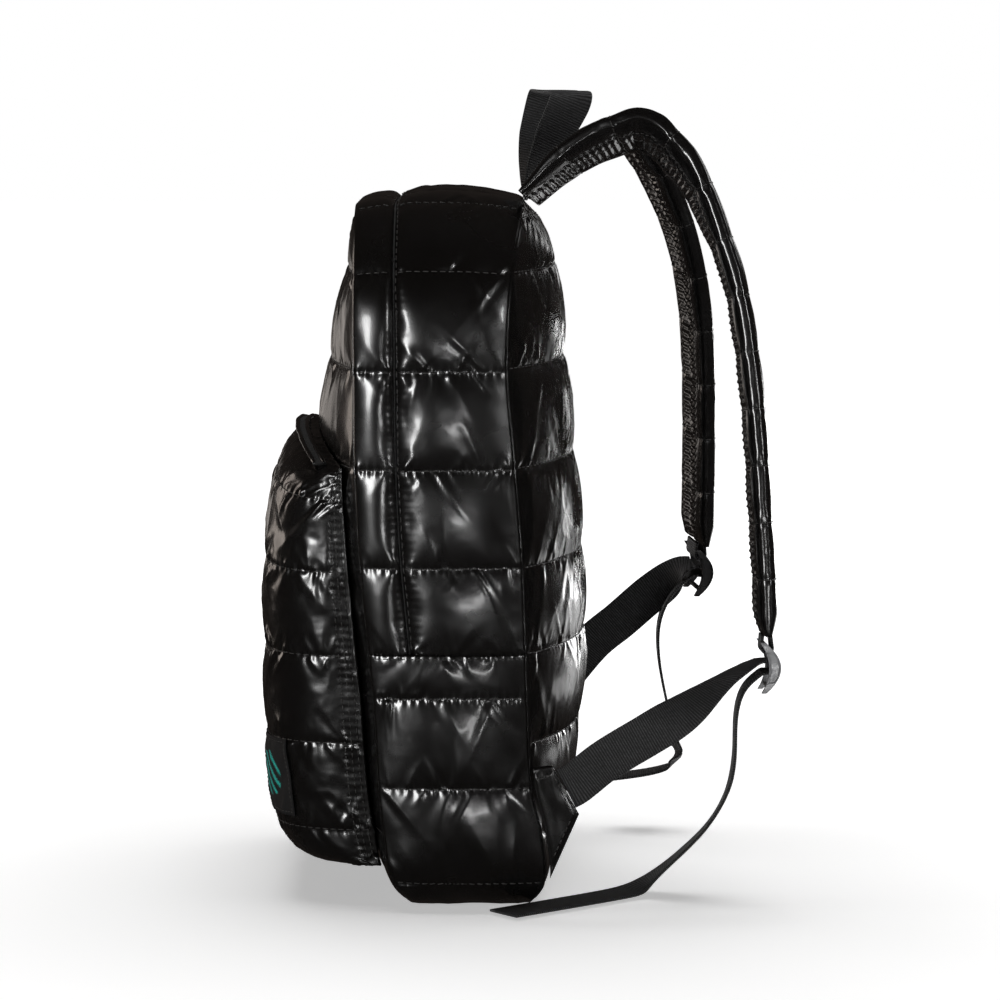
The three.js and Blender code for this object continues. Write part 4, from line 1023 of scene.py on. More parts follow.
def sewn_wall(name, outer, inner_of, paint, outer_map=None):
    """Closes an outer grid with a coarser inner one. inner_of gives the inner points for chosen rows and columns."""
    rows, columns = outer.shape[:2]
    row_choice, column_choice = every(rows, INNER_STEP), every(columns, INNER_STEP)
    inner = inner_of(row_choice, column_choice)
    outer_index = np.arange(rows * columns).reshape(rows, columns)
    inner_index = rows * columns + np.arange(inner.shape[0] * inner.shape[1]).reshape(inner.shape[:2])
    faces = quads(outer_index) + [face[::-1] for face in quads(inner_index)]

    def close(outer_line, inner_line, chosen, flip):
        for a in range(len(chosen) - 1):
            edge = list(outer_line[chosen[a] : chosen[a + 1] + 1])
            face = [int(v) for v in edge + [inner_line[a + 1], inner_line[a]]]
            faces.append(face[::-1] if flip else face)

    close(outer_index[0], inner_index[0], column_choice, True)
    close(outer_index[-1], inner_index[-1], column_choice, False)
    close(outer_index[:, 0], inner_index[:, 0], row_choice, False)
    close(outer_index[:, -1], inner_index[:, -1], row_choice, True)
    if outer_map is None:
        across, along = cloth_lengths(outer)
        outer_map = np.stack([across - across[:, -1:] / 2, along.mean(1, keepdims=True) + 0 * along], -1)
    inner_map = outer_map[np.ix_(row_choice, column_choice)]
    vertices = np.concatenate([outer.reshape(-1, 3), inner.reshape(-1, 3)])
    whole_map = np.concatenate([outer_map.reshape(-1, 2), inner_map.reshape(-1, 2)])
    return cloth_mesh(name, vertices, faces, whole_map, paint)


def dress(piece, slot, *nodes):
    """Lets a finished piece ride on the bag and stand for its CAD nodes. slot is not used."""
    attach(piece, "root")
    if nodes:
        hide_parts(*nodes)
    return piece


# %% Thread
stitch_lines = {}  # name of a piece of thread: its stitches, each a middle, a direction and a way out


def stitch_along(name, line, normals, pitch=STITCH_PITCH, length=STITCH_LENGTH, lift=0.22 * mm):
    """Sets stitches along a line on the cloth, at the pitch of the puckers."""
    along = walked_along(line)
    for place in np.arange(pitch, along[-1] - 0.5 * pitch, pitch):
        ends = [followed(line, along, place + half) for half in (-length / 2, length / 2)]
        out = unit(followed(normals, along, place))
        centre = (ends[0] + ends[1]) / 2 + out * lift
        stitch_lines.setdefault(name, []).append((centre, unit(ends[1] - ends[0]), out, length))


def stitch_rows(name, skin, rows, around=False):
    """Stitches the level rows of a piece, and gives its way out."""
    normals = grid_normals(skin, around)
    for row in rows:
        stitch_along(name + "_thread", skin[row], normals[row])
    return normals


def sew_thread(name, radius=STITCH_RADIUS):
    """One mesh with every stitch of a piece: a short thread, thin where it goes into the cloth."""
    rings, corners = [(-0.5, 0.25, -0.9), (-0.36, 1, 0), (0.36, 1, 0), (0.5, 0.25, -0.9)], 6
    vertices, faces, thread_map = [], [], []
    for centre, ahead, out, length in stitch_lines[name]:
        side = unit(np.cross(ahead, out))
        base = len(vertices)
        for place, width, sink in rings:
            for k in range(corners):
                turn = 2 * math.pi * k / corners
                spot = centre + ahead * place * length + out * radius * sink
                vertices.append(spot + radius * width * (math.cos(turn) * side + math.sin(turn) * out))
                thread_map.append((place * length, k / corners))
        for ring in range(len(rings) - 1):
            for k in range(corners):
                a, b = base + ring * corners + k, base + ring * corners + (k + 1) % corners
                faces.append([a, a + corners, b + corners, b])
        faces.append([base + k for k in range(corners)])
        faces.append([base + (len(rings) - 1) * corners + k for k in reversed(range(corners))])
    piece = cloth_mesh(name, vertices, faces, thread_map, thread)
    print(name, len(stitch_lines[name]), "stitches")
    return dress(piece, "puffer_nylon")


# %% [markdown]
# ## Sewing the body
# The walls meet in a mitre along the seams: at the rim, the inner side lies three millimetres in from both panels.

# %% Front and back panel
def fine_skin(name):
    """A simulated grid, twice as fine, with its stitched rows."""
    cloth = cloths[name]
    return refined(cloth["points"] + cloth["moved"], cloth["around"]), [2 * row for row in cloth["rows_stitched"]]


for name, facing in (("front_panel", -1), ("back_panel", 1)):
    skin, rows = fine_skin(name)
    skin = creased(skin, rows, 310 + facing, 1.0 * mm, 9 * mm, 0.25 * mm)
    skin = puckered(skin, rows, 300 + facing)
    smooth = refined(cloths[name]["points"])

    def inside(row_choice, column_choice, smooth=smooth, facing=facing):
        inner = smooth[np.ix_(row_choice, column_choice)].copy()
        inner[..., 0] -= facing * CLOTH_THICKNESS
        for edge in (0, -1):
            inner[:, edge, 1] -= np.sign(inner[:, edge, 1]) * CLOTH_THICKNESS
        inner[0, :, 2] += CLOTH_THICKNESS
        inner[-1, :, 2] -= CLOTH_THICKNESS
        inner[1:-1, :, 2] = np.clip(inner[1:-1, :, 2], CLOTH_THICKNESS * 1.1, BAG_HEIGHT - CLOTH_THICKNESS * 1.1)
        return inner

    piece = sewn_wall(name + "_cloth", skin, inside, nylon)
    dress(piece, "puffer_nylon", name)
    stitch_rows(name, skin, rows)
    sew_thread(name + "_thread")
    print(piece.name, len(piece.data.polygons), "faces")

# %% Gusset strips
for name, out, seam_edges in (
    ("gusset_front_strip", upper_out, (True, False)),
    ("gusset_rear_strip", upper_out, (False, True)),
    ("lower_gusset", lower_out, (True, True)),
):
    skin, rows = fine_skin(name)
    plain = name == "gusset_front_strip"
    skin = creased(skin, rows, 410 + len(name), (0.3 if plain else 0.95) * mm, 10 * mm, (0.05 if plain else 0.16) * mm)
    skin = puckered(skin, rows, 400 + len(name), height=0.9 * mm)
    gap = np.arange(skin.shape[1]) * CLOTH_STEP / 2
    if plain:
        skin = edge_puckers(skin, gap[::-1], 421, 0.12 * mm)
    elif name == "gusset_rear_strip":
        skin = edge_puckers(skin, gap, 422, 0.17 * mm, 9 * mm)
    smooth = refined(cloths[name]["points"])
    out_fine = refined(np.repeat(out[:, None, :], 2, axis=1))[:, 0]

    def inside(row_choice, column_choice, smooth=smooth, out_fine=out_fine, seam_edges=seam_edges):
        inner = smooth[np.ix_(row_choice, column_choice)].copy()
        inner -= out_fine[row_choice][:, None, :] * CLOTH_THICKNESS
        inner[:, 0, 0] += CLOTH_THICKNESS * seam_edges[0]
        inner[:, -1, 0] -= CLOTH_THICKNESS * seam_edges[1]
        return inner

    piece = sewn_wall(name + "_cloth", skin, inside, nylon)
    dress(piece, "puffer_nylon", name)
    inside_rows = [row for row in rows if 0 < row < len(skin) - 1]
    if name == "lower_gusset":
        inside_rows += [2, len(skin) - 3]  # the cross seam at both ends
    normals = stitch_rows(name, skin, inside_rows)
    if name == "gusset_rear_strip":  # the stitched line down the groove of the covered zip
        stitch_along(name + "_thread", skin[:, 1], normals[:, 2], lift=0.3 * mm)
    sew_thread(name + "_thread")
    print(piece.name, len(piece.data.polygons), "faces")

# %% Front pocket
skin, rows = fine_skin("front_pocket")
skin = creased(skin, rows, 510, 1.1 * mm, 7 * mm, 0.9 * mm)
skin = puckered(skin, rows[1:-1], 500, height=0.7 * mm)
smooth = refined(cloths["front_pocket"]["points"])
fine_edge = np.interp(np.arange(skin.shape[1]) / 2, np.arange(pocket_columns), pocket_edge)
FLANGE_ROWS, FLANGE_PITCH = [POCKET_FLANGE - far * mm for far in (0, 3.4, 7.2)], 4.4 * mm
flange_walk = walked_along(skin[:, 8])
beads = 0.5 - 0.5 * np.cos(2 * math.pi * (flange_walk - flange_walk[12]) / FLANGE_PITCH)
near_rows = sum(np.exp(-(((fine_edge - far_in) / (1.3 * mm)) ** 2)) for far_in in FLANGE_ROWS)
skin += grid_normals(skin) * (0.4 * mm * (beads[:, None] - 0.5) * near_rows[None, :])[..., None]


def inside(row_choice, column_choice):
    """The pocket's inner side: in from its walls, but never through the front panel."""
    inner = (smooth - CLOTH_THICKNESS * grid_normals(smooth))[np.ix_(row_choice, column_choice)]
    inner[..., 0] = np.minimum(inner[..., 0], pocket_seat(inner[..., 1], inner[..., 2]) - 1.8 * mm)
    return inner


piece = sewn_wall("front_pocket_cloth", skin, inside, nylon)
dress(piece, "puffer_nylon", "front_pocket")
normals = stitch_rows("front_pocket", skin, rows[1:-1])
half = skin.shape[1] // 2
for far_in in FLANGE_ROWS:
    off = np.abs(fine_edge - far_in)
    for column in (int(np.argmin(off[:half])), half + int(np.argmin(off[half:]))):
        stitch_along("front_pocket_thread", skin[12:-6, column], normals[12:-6, column], FLANGE_PITCH, 3 * mm)
sew_thread("front_pocket_thread")
print(piece.name, len(piece.data.polygons), "faces")

# %% Shoulder straps
STRAP_ROWS = (-0.5, 0, 0.5)  # the lengthwise stitching on the inner face, in shares of half the width


def ruched(skin, cloth):
    """Presses the three lengthwise rows into the strap's inner face and gathers the cloth between them."""
    lies, looks = (refined(np.repeat(cloth[key][:, None], 2, axis=1))[:, 0] for key in ("lies", "looks"))
    middle = skin.mean(1, keepdims=True)
    across = ((skin - middle) * lies[:, None]).sum(-1) / (STRAP_WIDTH / 2)
    inner = smoothstep(-((skin - middle) * looks[:, None]).sum(-1), 0.5 * mm, 3 * mm)
    along = walked_along(middle[:, 0])[:, None]
    wander = 1.6 * soft_noise(across.shape, 9, 640, True)
    band = 1 - smoothstep(np.abs(across), 0.52, 0.66)
    lift = 0.75 * mm * np.sin(2 * math.pi * along / (4.4 * mm) + wander) * band
    for row in STRAP_ROWS:
        lift = lift - 1.2 * mm * np.exp(-(((across - row) / 0.05) ** 2))
    ring = len(skin) // 2
    columns = [int(np.argmin(np.where(inner[ring] > 0.5, np.abs(across[ring] - row), 9))) for row in STRAP_ROWS]
    return skin + grid_normals(skin, True) * (lift * inner)[..., None], columns


for name, seed in (("shoulder_strap_right", 605), ("shoulder_strap_left", 604)):
    skin, rows = fine_skin(name)
    skin = creased(skin, rows, seed + 10, 0.35 * mm, 16 * mm, 0.12 * mm, around=True)
    skin = puckered(skin, rows, seed, around=True, height=0.4 * mm)
    skin, lengthwise = ruched(skin, cloths[name])
    count, around = skin.shape[:2]
    index, faces = tube_of(count, around)
    for end, ring in ((0, index[0].tolist()), (1, index[-1].tolist())):
        for a, b in zip(ring, ring[1:] + ring[:1]):
            faces.append([a, b, count * around + end] if end else [b, a, count * around + end])
    along = walked_along(skin.mean(1))
    strap_map = np.stack(np.meshgrid(walked_along(skin[count // 2]), along), -1).reshape(-1, 2)
    strap_map = np.concatenate([strap_map, [[0, along[0]], [0, along[-1]]]])
    vertices = np.concatenate([skin.reshape(-1, 3), [skin[0].mean(0), skin[-1].mean(0)]])
    piece = cloth_mesh(name + "_cloth", vertices, faces, strap_map, strap_nylon)
    dress(piece, "puffer_nylon", name)
    normals = stitch_rows(name, skin, rows[1:-1], around=True)
    for column in lengthwise:
        stitch_along(name + "_thread", skin[16:-8, column], normals[16:-8, column], 3.4 * mm, 2.3 * mm)
    sew_thread(name + "_thread")
    print(piece.name, len(piece.data.polygons), "faces")

# %% [markdown]
# ## Webbing
# The webbing is flat and stiff, so it is modelled directly: a rounded flat section carried along a run of places,
# each with the way its width lies. The runs repeat the CAD's, but with many more places along them.

# %% Flat bands
WEBBING_WIDTH, WEBBING_THICKNESS = 25 * mm, 1.6 * mm
BAND_FACE = [  # one face of the band, as shares of its width and thickness
    (-0.5, -0.2), (-0.488, -0.42), (-0.46, -0.5), (-0.23, -0.5), (0, -0.5), (0.23, -0.5), (0.46, -0.5), (0.488, -0.42),
    (0.5, -0.2),
]
BAND_SECTION = np.array(BAND_FACE + [(across, -up) for across, up in reversed(BAND_FACE)])


def even_run(points, widths, step=1.6 * mm):
    """The same run with places an even length apart."""
    points, widths = np.asarray(points), np.asarray(widths)
    along = walked_along(points)
    places = np.linspace(0, along[-1], max(2, int(along[-1] / step)))
    return followed(points, along, places), followed(widths, along, places)


def eased(line, rounds):
    """A line with its small corners eased, its ends kept."""
    line = line.copy()
    for _ in range(rounds):
        line[1:-1] = 0.25 * line[:-2] + 0.5 * line[1:-1] + 0.25 * line[2:]
    return line


def band(name, points, widths, paint, breadth=WEBBING_WIDTH, thickness=WEBBING_THICKNESS, curl=0.0):
    """A band of webbing or tape for a CAD node. curl bends its width a little into a trough."""
    ahead = unit(np.gradient(points, axis=0))
    wide = unit(widths - ahead * (widths * ahead).sum(1, keepdims=True))
    across, up = BAND_SECTION[:, 0] * breadth, BAND_SECTION[:, 1] * thickness
    up = up + curl * (4 * BAND_SECTION[:, 0] ** 2 - 0.5)
    rings = points[:, None] + wide[:, None] * across[:, None] + np.cross(ahead, wide)[:, None] * up[:, None]
    count, around = rings.shape[:2]
    along = walked_along(points)
    strip_map = np.stack(np.meshgrid(across, along), -1).reshape(-1, 2)
    slot, ending = ("zip_tape", "_tape") if paint is zip_tape else ("webbing", "_band")
    piece = cloth_mesh(name + ending, rings.reshape(-1, 3), closed_ends(*tube_of(count, around)), strip_map, paint)
    sides = list(piece.data.polygons)[:-2:37]
    if sum(face.normal.dot(face.center - Vector(points[face.index // around])) for face in sides) < 0:
        piece.data.flip_normals()
    dress(piece, slot, name)
    print(piece.name, round(along[-1], 3), "m long")


# %% Grab handle
HANDLE_SPAN, HANDLE_HEIGHT = 42 * mm, 64 * mm
# Columns: behind the seam in millimetres; across as a share of the span; height; turn of the width in degrees
HANDLE_RUN = [
    (0.4, -0.5, 0.008, 88), (6, -0.5, 0.25, 62), (17, -0.53, 0.6, 24), (27, -0.52, 0.93, 8), (28, -0.42, 1, 4),
    (22, 0, 1.02, 0), (16, 0.42, 1.01, -4), (14, 0.52, 0.95, -8), (8, 0.53, 0.6, -24), (3, 0.52, 0.25, -62),
    (0.4, 0.5, 0.008, -88),
]
handle_path = spline_through([
    (back_seam(BAG_HEIGHT) + (1 + back) * mm, across * HANDLE_SPAN, BAG_HEIGHT + SEAT_GAP + HANDLE_HEIGHT * height)
    for back, across, height, _ in HANDLE_RUN
])
handle_turns = [math.radians(turn) for *_, turn in HANDLE_RUN]
places = np.linspace(0, len(HANDLE_RUN) - 1, 240)
angles = np.interp(places, np.arange(len(HANDLE_RUN)), handle_turns)
handle_widths = np.stack([np.cos(angles), np.sin(angles), 0 * angles], -1)
handle = even_run([handle_path(place) for place in places], handle_widths)
band("grab_handle", *handle, webbing, curl=0.35 * mm)

# %% Adjuster places
ADJUSTER_LENGTH, ADJUSTER_BOW, STRAP_TO_BAR = 30 * mm, 7 * mm, 8 * mm
RAIL_THICKNESS, RAIL_WIDTH, BAR_THICKNESS, BAR_CLEARANCE = 5 * mm, 3.5 * mm, 3 * mm, 0.6 * mm
LOOP_RADIUS = BAR_THICKNESS * 0.6 + BAR_CLEARANCE + WEBBING_THICKNESS / 2
TOP_BAR = -0.38 * ADJUSTER_LENGTH


def bow(share):
    """How far an adjuster bows out at a share of its length."""
    return ADJUSTER_BOW * (1 - (2 * share - 1) ** 2)


adjuster_frames = {}
for name in ("right", "left"):
    at, width, length = strap_frames[name]
    end, down = at(1), unit(at(1) - at(1 - 0.004))
    wide = unit(width(1) - down * width(1).dot(down))
    out = unit(np.cross(down, wide))
    centre = end + down * (STRAP_TO_BAR - TOP_BAR) - out * bow(0.12)
    adjuster_frames[name] = (centre, wide, down, out)
    print(f"adjuster_{name} at", centre.round(4))

# %% Lower webbing and free tails
WING_TOP, WING_FOOT, WING_REACH, WING_THICKNESS = 85 * mm, 19 * mm, 27 * mm, 4 * mm
WING_GRID = 33  # points along each side of a wing
WING_CORNERS = {"right": [(0.42, 1.015), (1, 0.58)], "left": [(0.1, 1.12), (0.78, 0.84)]}
WING_OUT = HALF_WIDTH - TOP_TAPER * WING_TOP / BAG_HEIGHT + 2 * mm  # how far to the side a wing lies
# Columns: shares of the way in X, Y and Z; twist
WEBBING_RUNS = {
    "right": [
        (0, 0, 0, 0), (0.19, 0.09, 0.22, 0), (0.44, 0.21, 0.46, 0.05), (0.59, 0.36, 0.6, 0.4), (0.71, 0.52, 0.74, 0.62),
        (0.83, 0.67, 0.88, 0.82), (0.94, 0.9, 0.97, 0.96), (1, 1, 1, 1),
    ],
    "left": [
        (0, 0, 0, 0), (0.32, 0.34, 0.4, 0), (0.51, 0.54, 0.57, 0.05), (0.69, 0.72, 0.74, 0.12), (0.84, 0.85, 0.87, 0.4),
        (0.94, 0.95, 0.97, 0.85), (1, 1, 1, 1),
    ],
}
# Columns: shares of the way in X and Y; height; swing in degrees
TAIL_RUNS = {
    "right": [
        (0, 0, 1, 0), (0.07, 0, 0.93, 0), (0.1, -0.03, 0.8, 0), (0.1, -0.06, 0.62, 0), (0.125, -0.1, 0.46, 0),
        (0.2, -0.14, 0.3, 0), (0.31, -0.17, 0.17, 4), (0.42, -0.18, 0.06, 10), (0.5, -0.12, 0, 18), (0.66, 0.24, 0, 24),
        (0.82, 0.6, 0, 30), (1, 1, 0, 34),
    ],
    "left": [
        (0, 0, 1, 0), (0.25, 0.05, 0.93, 0), (0.42, 0.1, 0.82, 0), (0.43, 0.15, 0.68, 0), (0.32, 0.3, 0.5, 0),
        (0.2, 0.5, 0.34, 0), (0.2, 0.7, 0.25, 0), (0.4, 0.85, 0.22, 0), (0.75, 0.95, 0.2, 0), (1, 1, 0.19, 0),
    ],
}
TAIL_ENDS = {"right": (24 * mm, 15 * mm), "left": (96 * mm, -20 * mm)}
FLOOR_REST = WEBBING_THICKNESS / 2 + SEAT_GAP


def wing_outline(name):
    """Corners of a wing tab in the plane of the bag's side: seam top, two outer corners, seam foot."""
    seam = back_seam(WING_TOP) + 1.9 * mm
    corners = [(seam, WING_TOP)]
    for reach, up in WING_CORNERS[name]:
        corners.append((seam + WING_REACH * reach, WING_FOOT + (WING_TOP - WING_FOOT) * up))
    return corners + [(back_seam(WING_FOOT) + 2.9 * mm, WING_FOOT)]


def smooth_run(list_of_places, count):
    """Points and widths along a spline through places, never under the floor."""
    path = spline_through([place[:3] for place in list_of_places])
    stops = np.linspace(0, len(list_of_places) - 1, count)
    points = np.array([path(stop) for stop in stops])
    points[:, 2] = np.maximum(points[:, 2], FLOOR_REST)
    widths = np.array([place[3] for place in list_of_places])
    return points, unit(followed(widths, np.arange(len(widths)), stops))


for name in ("right", "left"):
    side = STRAP_SIDES[name][0]
    centre, wide, down, out = adjuster_frames[name]

    def place_at(along, above):
        return centre + down * along + out * above

    # the strap's own loop round the top bar
    angles = np.linspace(0, math.pi, 25)
    loop = [place_at(TOP_BAR + LOOP_RADIUS * math.sin(a), bow(0.12) - LOOP_RADIUS * math.cos(a)) for a in angles]
    reach = TOP_BAR + SEAT_GAP - STRAP_TO_BAR
    loop = [place_at(reach, bow(0.12) - 0.75 * LOOP_RADIUS), *loop, place_at(reach, bow(0.12) + 0.75 * LOOP_RADIUS)]
    band(f"strap_loop_{name}", *even_run(loop, [wide] * len(loop), 0.8 * mm), webbing)
    # from the wing to the middle bar, round it and down the tail
    upper, lower = (np.array([x, side * (WING_OUT - WING_THICKNESS / 2), z]) for x, z in wing_outline(name)[1:3])
    edge, edge_way = (upper + lower) / 2, unit(upper - lower)
    away = np.array([edge_way[2], 0, -edge_way[0]])
    start = edge + away * 0.3 * mm
    finish = place_at(-LOOP_RADIUS, bow(0.5) - 8 * mm)
    rise = [
        (*(start + (finish - start) * (x, y_share, z)), unit(edge_way * (1 - twist) + wide * twist))
        for x, y_share, z, twist in WEBBING_RUNS[name]
    ]
    rise.insert(1, (*(start + away * 6 * mm), edge_way))
    rise_points, rise_widths = smooth_run(rise, 120)
    bend = np.array([
        place_at(-LOOP_RADIUS * math.cos(a), bow(0.5) + LOOP_RADIUS * math.sin(a)) for a in np.linspace(0, math.pi, 21)
    ])
    tail_start = place_at(LOOP_RADIUS, bow(0.5) - 7 * mm)
    end_x, end_y = TAIL_ENDS[name][0], side * (HALF_WIDTH + TAIL_ENDS[name][1])
    tail = [
        (
            tail_start[0] + (end_x - tail_start[0]) * x,
            tail_start[1] + (end_y - tail_start[1]) * y_share,
            FLOOR_REST + (tail_start[2] - FLOOR_REST) * height,
            np.array([math.sin(math.radians(swing)), math.cos(math.radians(swing)), 0]),
        )
        for x, y_share, height, swing in TAIL_RUNS[name]
    ]
    tail_points, tail_widths = smooth_run(tail, 220)
    tail_points = eased(tail_points, 90)
    ahead = np.gradient(tail_points, axis=0)
    flat = unit(np.stack([ahead[:, 1], -ahead[:, 0], 0 * ahead[:, 0]], -1))
    flat[flat[:, 1] < 0] *= -1
    lying = 1 - smoothstep(tail_points[:, 2], WEBBING_WIDTH, 3 * WEBBING_WIDTH)
    tail_widths = tail_widths + (flat - tail_widths) * lying[:, None]
    points = np.vstack([rise_points, bend, tail_points])
    widths = np.vstack([rise_widths, np.repeat(wide[None], len(bend), 0), tail_widths])
    points, widths = even_run(points, widths)
    band(f"lower_webbing_{name}", points, eased(widths, 6), webbing)

# %% [markdown]
# ## Wing tabs
# A wing is a small flat pad, sewn into the back seam at the foot, that the lower webbing is stitched to. It is a
# closed pillow between two edges: a grid on each side that thins towards its rim.

# %% Wings
def wing_tab(name):
    """A wing with its stitches, as a closed pillow."""
    side = STRAP_SIDES[name][0]
    outer_top, outer_foot = (np.array(corner) for corner in wing_outline(name)[1:3])
    up, over = np.meshgrid(np.linspace(0, 1, WING_GRID), np.linspace(0, 1, WING_GRID), indexing="ij")
    seam_z = WING_FOOT + (WING_TOP - WING_FOOT) * up
    seam_x = back_seam(seam_z) + 1.9 * mm + (1 - up) * mm
    outer = outer_foot + (outer_top - outer_foot) * up[..., None]
    x = seam_x + (outer[..., 0] - seam_x) * over
    z = seam_z + (outer[..., 1] - seam_z) * over
    rim = 1 - np.maximum(np.abs(2 * up - 1), np.abs(2 * over - 1))
    thick = WING_THICKNESS * (0.22 + 0.36 * np.clip(rim / 0.22, 0, 1) ** 0.55)
    crease = soft_noise((WING_GRID, WING_GRID), 7, 131) * 0.5 * mm * np.clip(rim / 0.15, 0, 1)
    stitched = np.exp(-((rim - 0.13) / 0.035) ** 2) * 0.7 * mm
    sides = [
        np.stack([x, side * WING_OUT + facing * (thick - stitched + crease * facing), z], -1) for facing in (-1, 1)
    ]
    index = np.arange(WING_GRID * WING_GRID).reshape(WING_GRID, WING_GRID)
    faces = quads(index) + [face[::-1] for face in quads(index + WING_GRID * WING_GRID)]
    for line in (index[0], index[:, -1], index[-1][::-1], index[:, 0][::-1]):
        for a, b in zip(line[:-1], line[1:]):
            faces.append([int(b), int(a), int(a) + WING_GRID * WING_GRID, int(b) + WING_GRID * WING_GRID])
    wing_map = np.stack([x, z], -1).reshape(-1, 2)
    piece = cloth_mesh(f"wing_tab_{name}_pad", np.reshape(sides, (-1, 3)), faces, np.tile(wing_map, (2, 1)), nylon)
    bpy.ops.object.select_all(action="DESELECT")
    piece.select_set(True)
    bpy.context.view_layer.objects.active = piece
    bpy.ops.object.mode_set(mode="EDIT")
    bpy.ops.mesh.select_all(action="SELECT")
    bpy.ops.mesh.normals_make_consistent(inside=False)
    bpy.ops.object.mode_set(mode="OBJECT")
    dress(piece, "puffer_nylon", f"wing_tab_{name}")
    near = sides[0] if side < 0 else sides[1]
    way = np.tile([0, float(side), 0], (WING_GRID, 1))
    for line in (near[4, 3:-3], near[-5, 3:-3], near[3:-3, -5]):
        stitch_along(f"wing_tab_{name}_thread", line, way[: len(line)], pitch=4 * mm, length=2.8 * mm)
    sew_thread(f"wing_tab_{name}_thread")


for name in ("right", "left"):
    wing_tab(name)

# %% [markdown]
# ## Zips
# Both zips are hidden: the main one runs under the groove between the two strips of the gusset, and the pocket's lies
# between two narrow rolls of cloth. Each is a thin band of tape along its line.

# %% Main zip
ZIP_DEPTH = 3.7 * mm
tape_crown = GUSSET_CROWN * (1 - np.abs(2 * FRONT_STRIP_WIDTH / (back_seam(upper_z) - front_seam(upper_z)) - 1) ** 2.4)
tape_points = np.stack([zip_line(upper_z), upper_y, upper_z], -1) + upper_out * (tape_crown - ZIP_DEPTH)[:, None]
tape_widths = np.tile([1.0, 0, 0], (len(tape_points), 1))
band("main_zip", tape_points, tape_widths, zip_tape, breadth=3.2 * mm, thickness=1.0 * mm)

# %% Pocket zip with its two rolls
def tree_of(piece):
    """A piece's faces, ready to be hit by a ray."""
    return BVHTree.FromPolygons([v.co for v in piece.data.vertices], [p.vertices for p in piece.data.polygons])


pocket_tree = tree_of(bpy.data.objects["front_pocket_cloth"])
panel_tree = tree_of(bpy.data.objects["front_panel_cloth"])


def first_hit(tree, start, way):
    """Where a ray first meets a piece, or None."""
    hit = tree.ray_cast(Vector(start), Vector(way))[0]
    return None if hit is None else np.array(hit)


zip_places = []
for y in np.linspace(-1, 1, 81) * POCKET_HALF_WIDTH * 0.92:
    panel_hit = first_hit(panel_tree, (-1, y, POCKET_FOOT + POCKET_HEIGHT + 22 * mm), (1, 0, 0))
    x = panel_hit[0] - 10 * mm
    tops = [first_hit(pocket_tree, (x + dx, y, 1), (0, 0, -1)) for dx in (-5 * mm, 0, 5 * mm)]
    zip_places.append((x, y, max(t[2] for t in tops if t is not None)))
zip_places = eased(np.array(zip_places), 12)
tape = zip_places + (0, 0, 0.4 * mm)
tape_widths = np.tile([1.0, 0, 0], (len(tape), 1))
band("pocket_zip", *even_run(tape, tape_widths), zip_tape, breadth=8 * mm, thickness=1.0 * mm)

ROLL_RADIUS, ROLL_CORNERS = 1.3 * mm, 14


def roll_of_cloth(name, line, seed):
    """A narrow, slightly uneven roll of cloth along a line, closed at both ends."""
    points, _ = even_run(line, line, 1.5 * mm)
    ahead = unit(np.gradient(points, axis=0))
    side = unit(np.cross(ahead, [1.0, 0, 0]))
    third = np.cross(ahead, side)
    turns = np.linspace(0, 2 * math.pi, ROLL_CORNERS, endpoint=False)
    swell = 1 + 0.16 * soft_noise((len(points), ROLL_CORNERS), 5, seed, True)
    place = np.arange(len(points))
    ends = np.sqrt(np.clip(np.minimum(place, place[::-1]) / 3.0, 0.05, 1))
    across, up = (turned * ROLL_RADIUS * swell * ends[:, None] for turned in (np.cos(turns), np.sin(turns)))
    rings = points[:, None] + side[:, None] * across[..., None] + third[:, None] * up[..., None]
    if (grid_normals(rings, True)[5] * (rings[5] - points[5])).sum() < 0:
        rings = rings[:, ::-1]
    faces = closed_ends(*tube_of(len(points), ROLL_CORNERS))
    round_the_roll = np.arange(ROLL_CORNERS) * ROLL_RADIUS * 0.45
    roll_map = np.stack(np.meshgrid(round_the_roll, walked_along(points)), -1).reshape(-1, 2)
    return dress(cloth_mesh(name, rings.reshape(-1, 3), faces, roll_map, nylon), "puffer_nylon")


for name, shift, lift, seed in (
    ("pocket_zip_roll_front", -3.2 * mm, 0.8 * mm, 7),
    ("pocket_zip_roll_rear", 2.6 * mm, 1.0 * mm, 8),
):
    roll = roll_of_cloth(name, zip_places + (shift, 0, lift), seed)
    print(name)

# %% [markdown]
# ## Label
# The woven label is a small patch that follows the pocket's cloth. It is black, with a plain motif of waves in teal:
# no lettering is copied.

# %% Label
LABEL_WIDTH, LABEL_HEIGHT, LABEL_FOOT, LABEL_THICKNESS = 44 * mm, 46 * mm, 50 * mm, 1.2 * mm
label_paint, tree, shader = new_paint("woven_label", (0.01, 0.01, 0.011), 0.7, 0.3)
cloth_map = node(tree, "ShaderNodeUVMap", uv_map="cloth")
centred = node(tree, "ShaderNodeMapping")
centred.inputs["Location"].default_value = (-LABEL_WIDTH / 2, -LABEL_HEIGHT / 2, 0)
tree.links.new(cloth_map.outputs["UV"], centred.inputs["Vector"])
waves = node(tree, "ShaderNodeTexWave", wave_type="BANDS", bands_direction="DIAGONAL", wave_profile="SIN")
waves.inputs["Scale"].default_value = 2 * math.pi / (3.4 * mm) / 20 / 1.5
waves.inputs["Distortion"].default_value = 2.5
waves.inputs["Detail"].default_value = 0.0
waves.inputs["Detail Scale"].default_value = 60.0
tree.links.new(centred.outputs["Vector"], waves.inputs["Vector"])
ball = node(tree, "ShaderNodeVectorMath", operation="LENGTH")
tree.links.new(centred.outputs["Vector"], ball.inputs[0])
inside_ring = ranged(tree, ball.outputs["Value"], 1, 0, 13 * mm, 14 * mm)
strokes = ranged(tree, waves.outputs["Fac"], 0, 1, 0.82, 0.9)
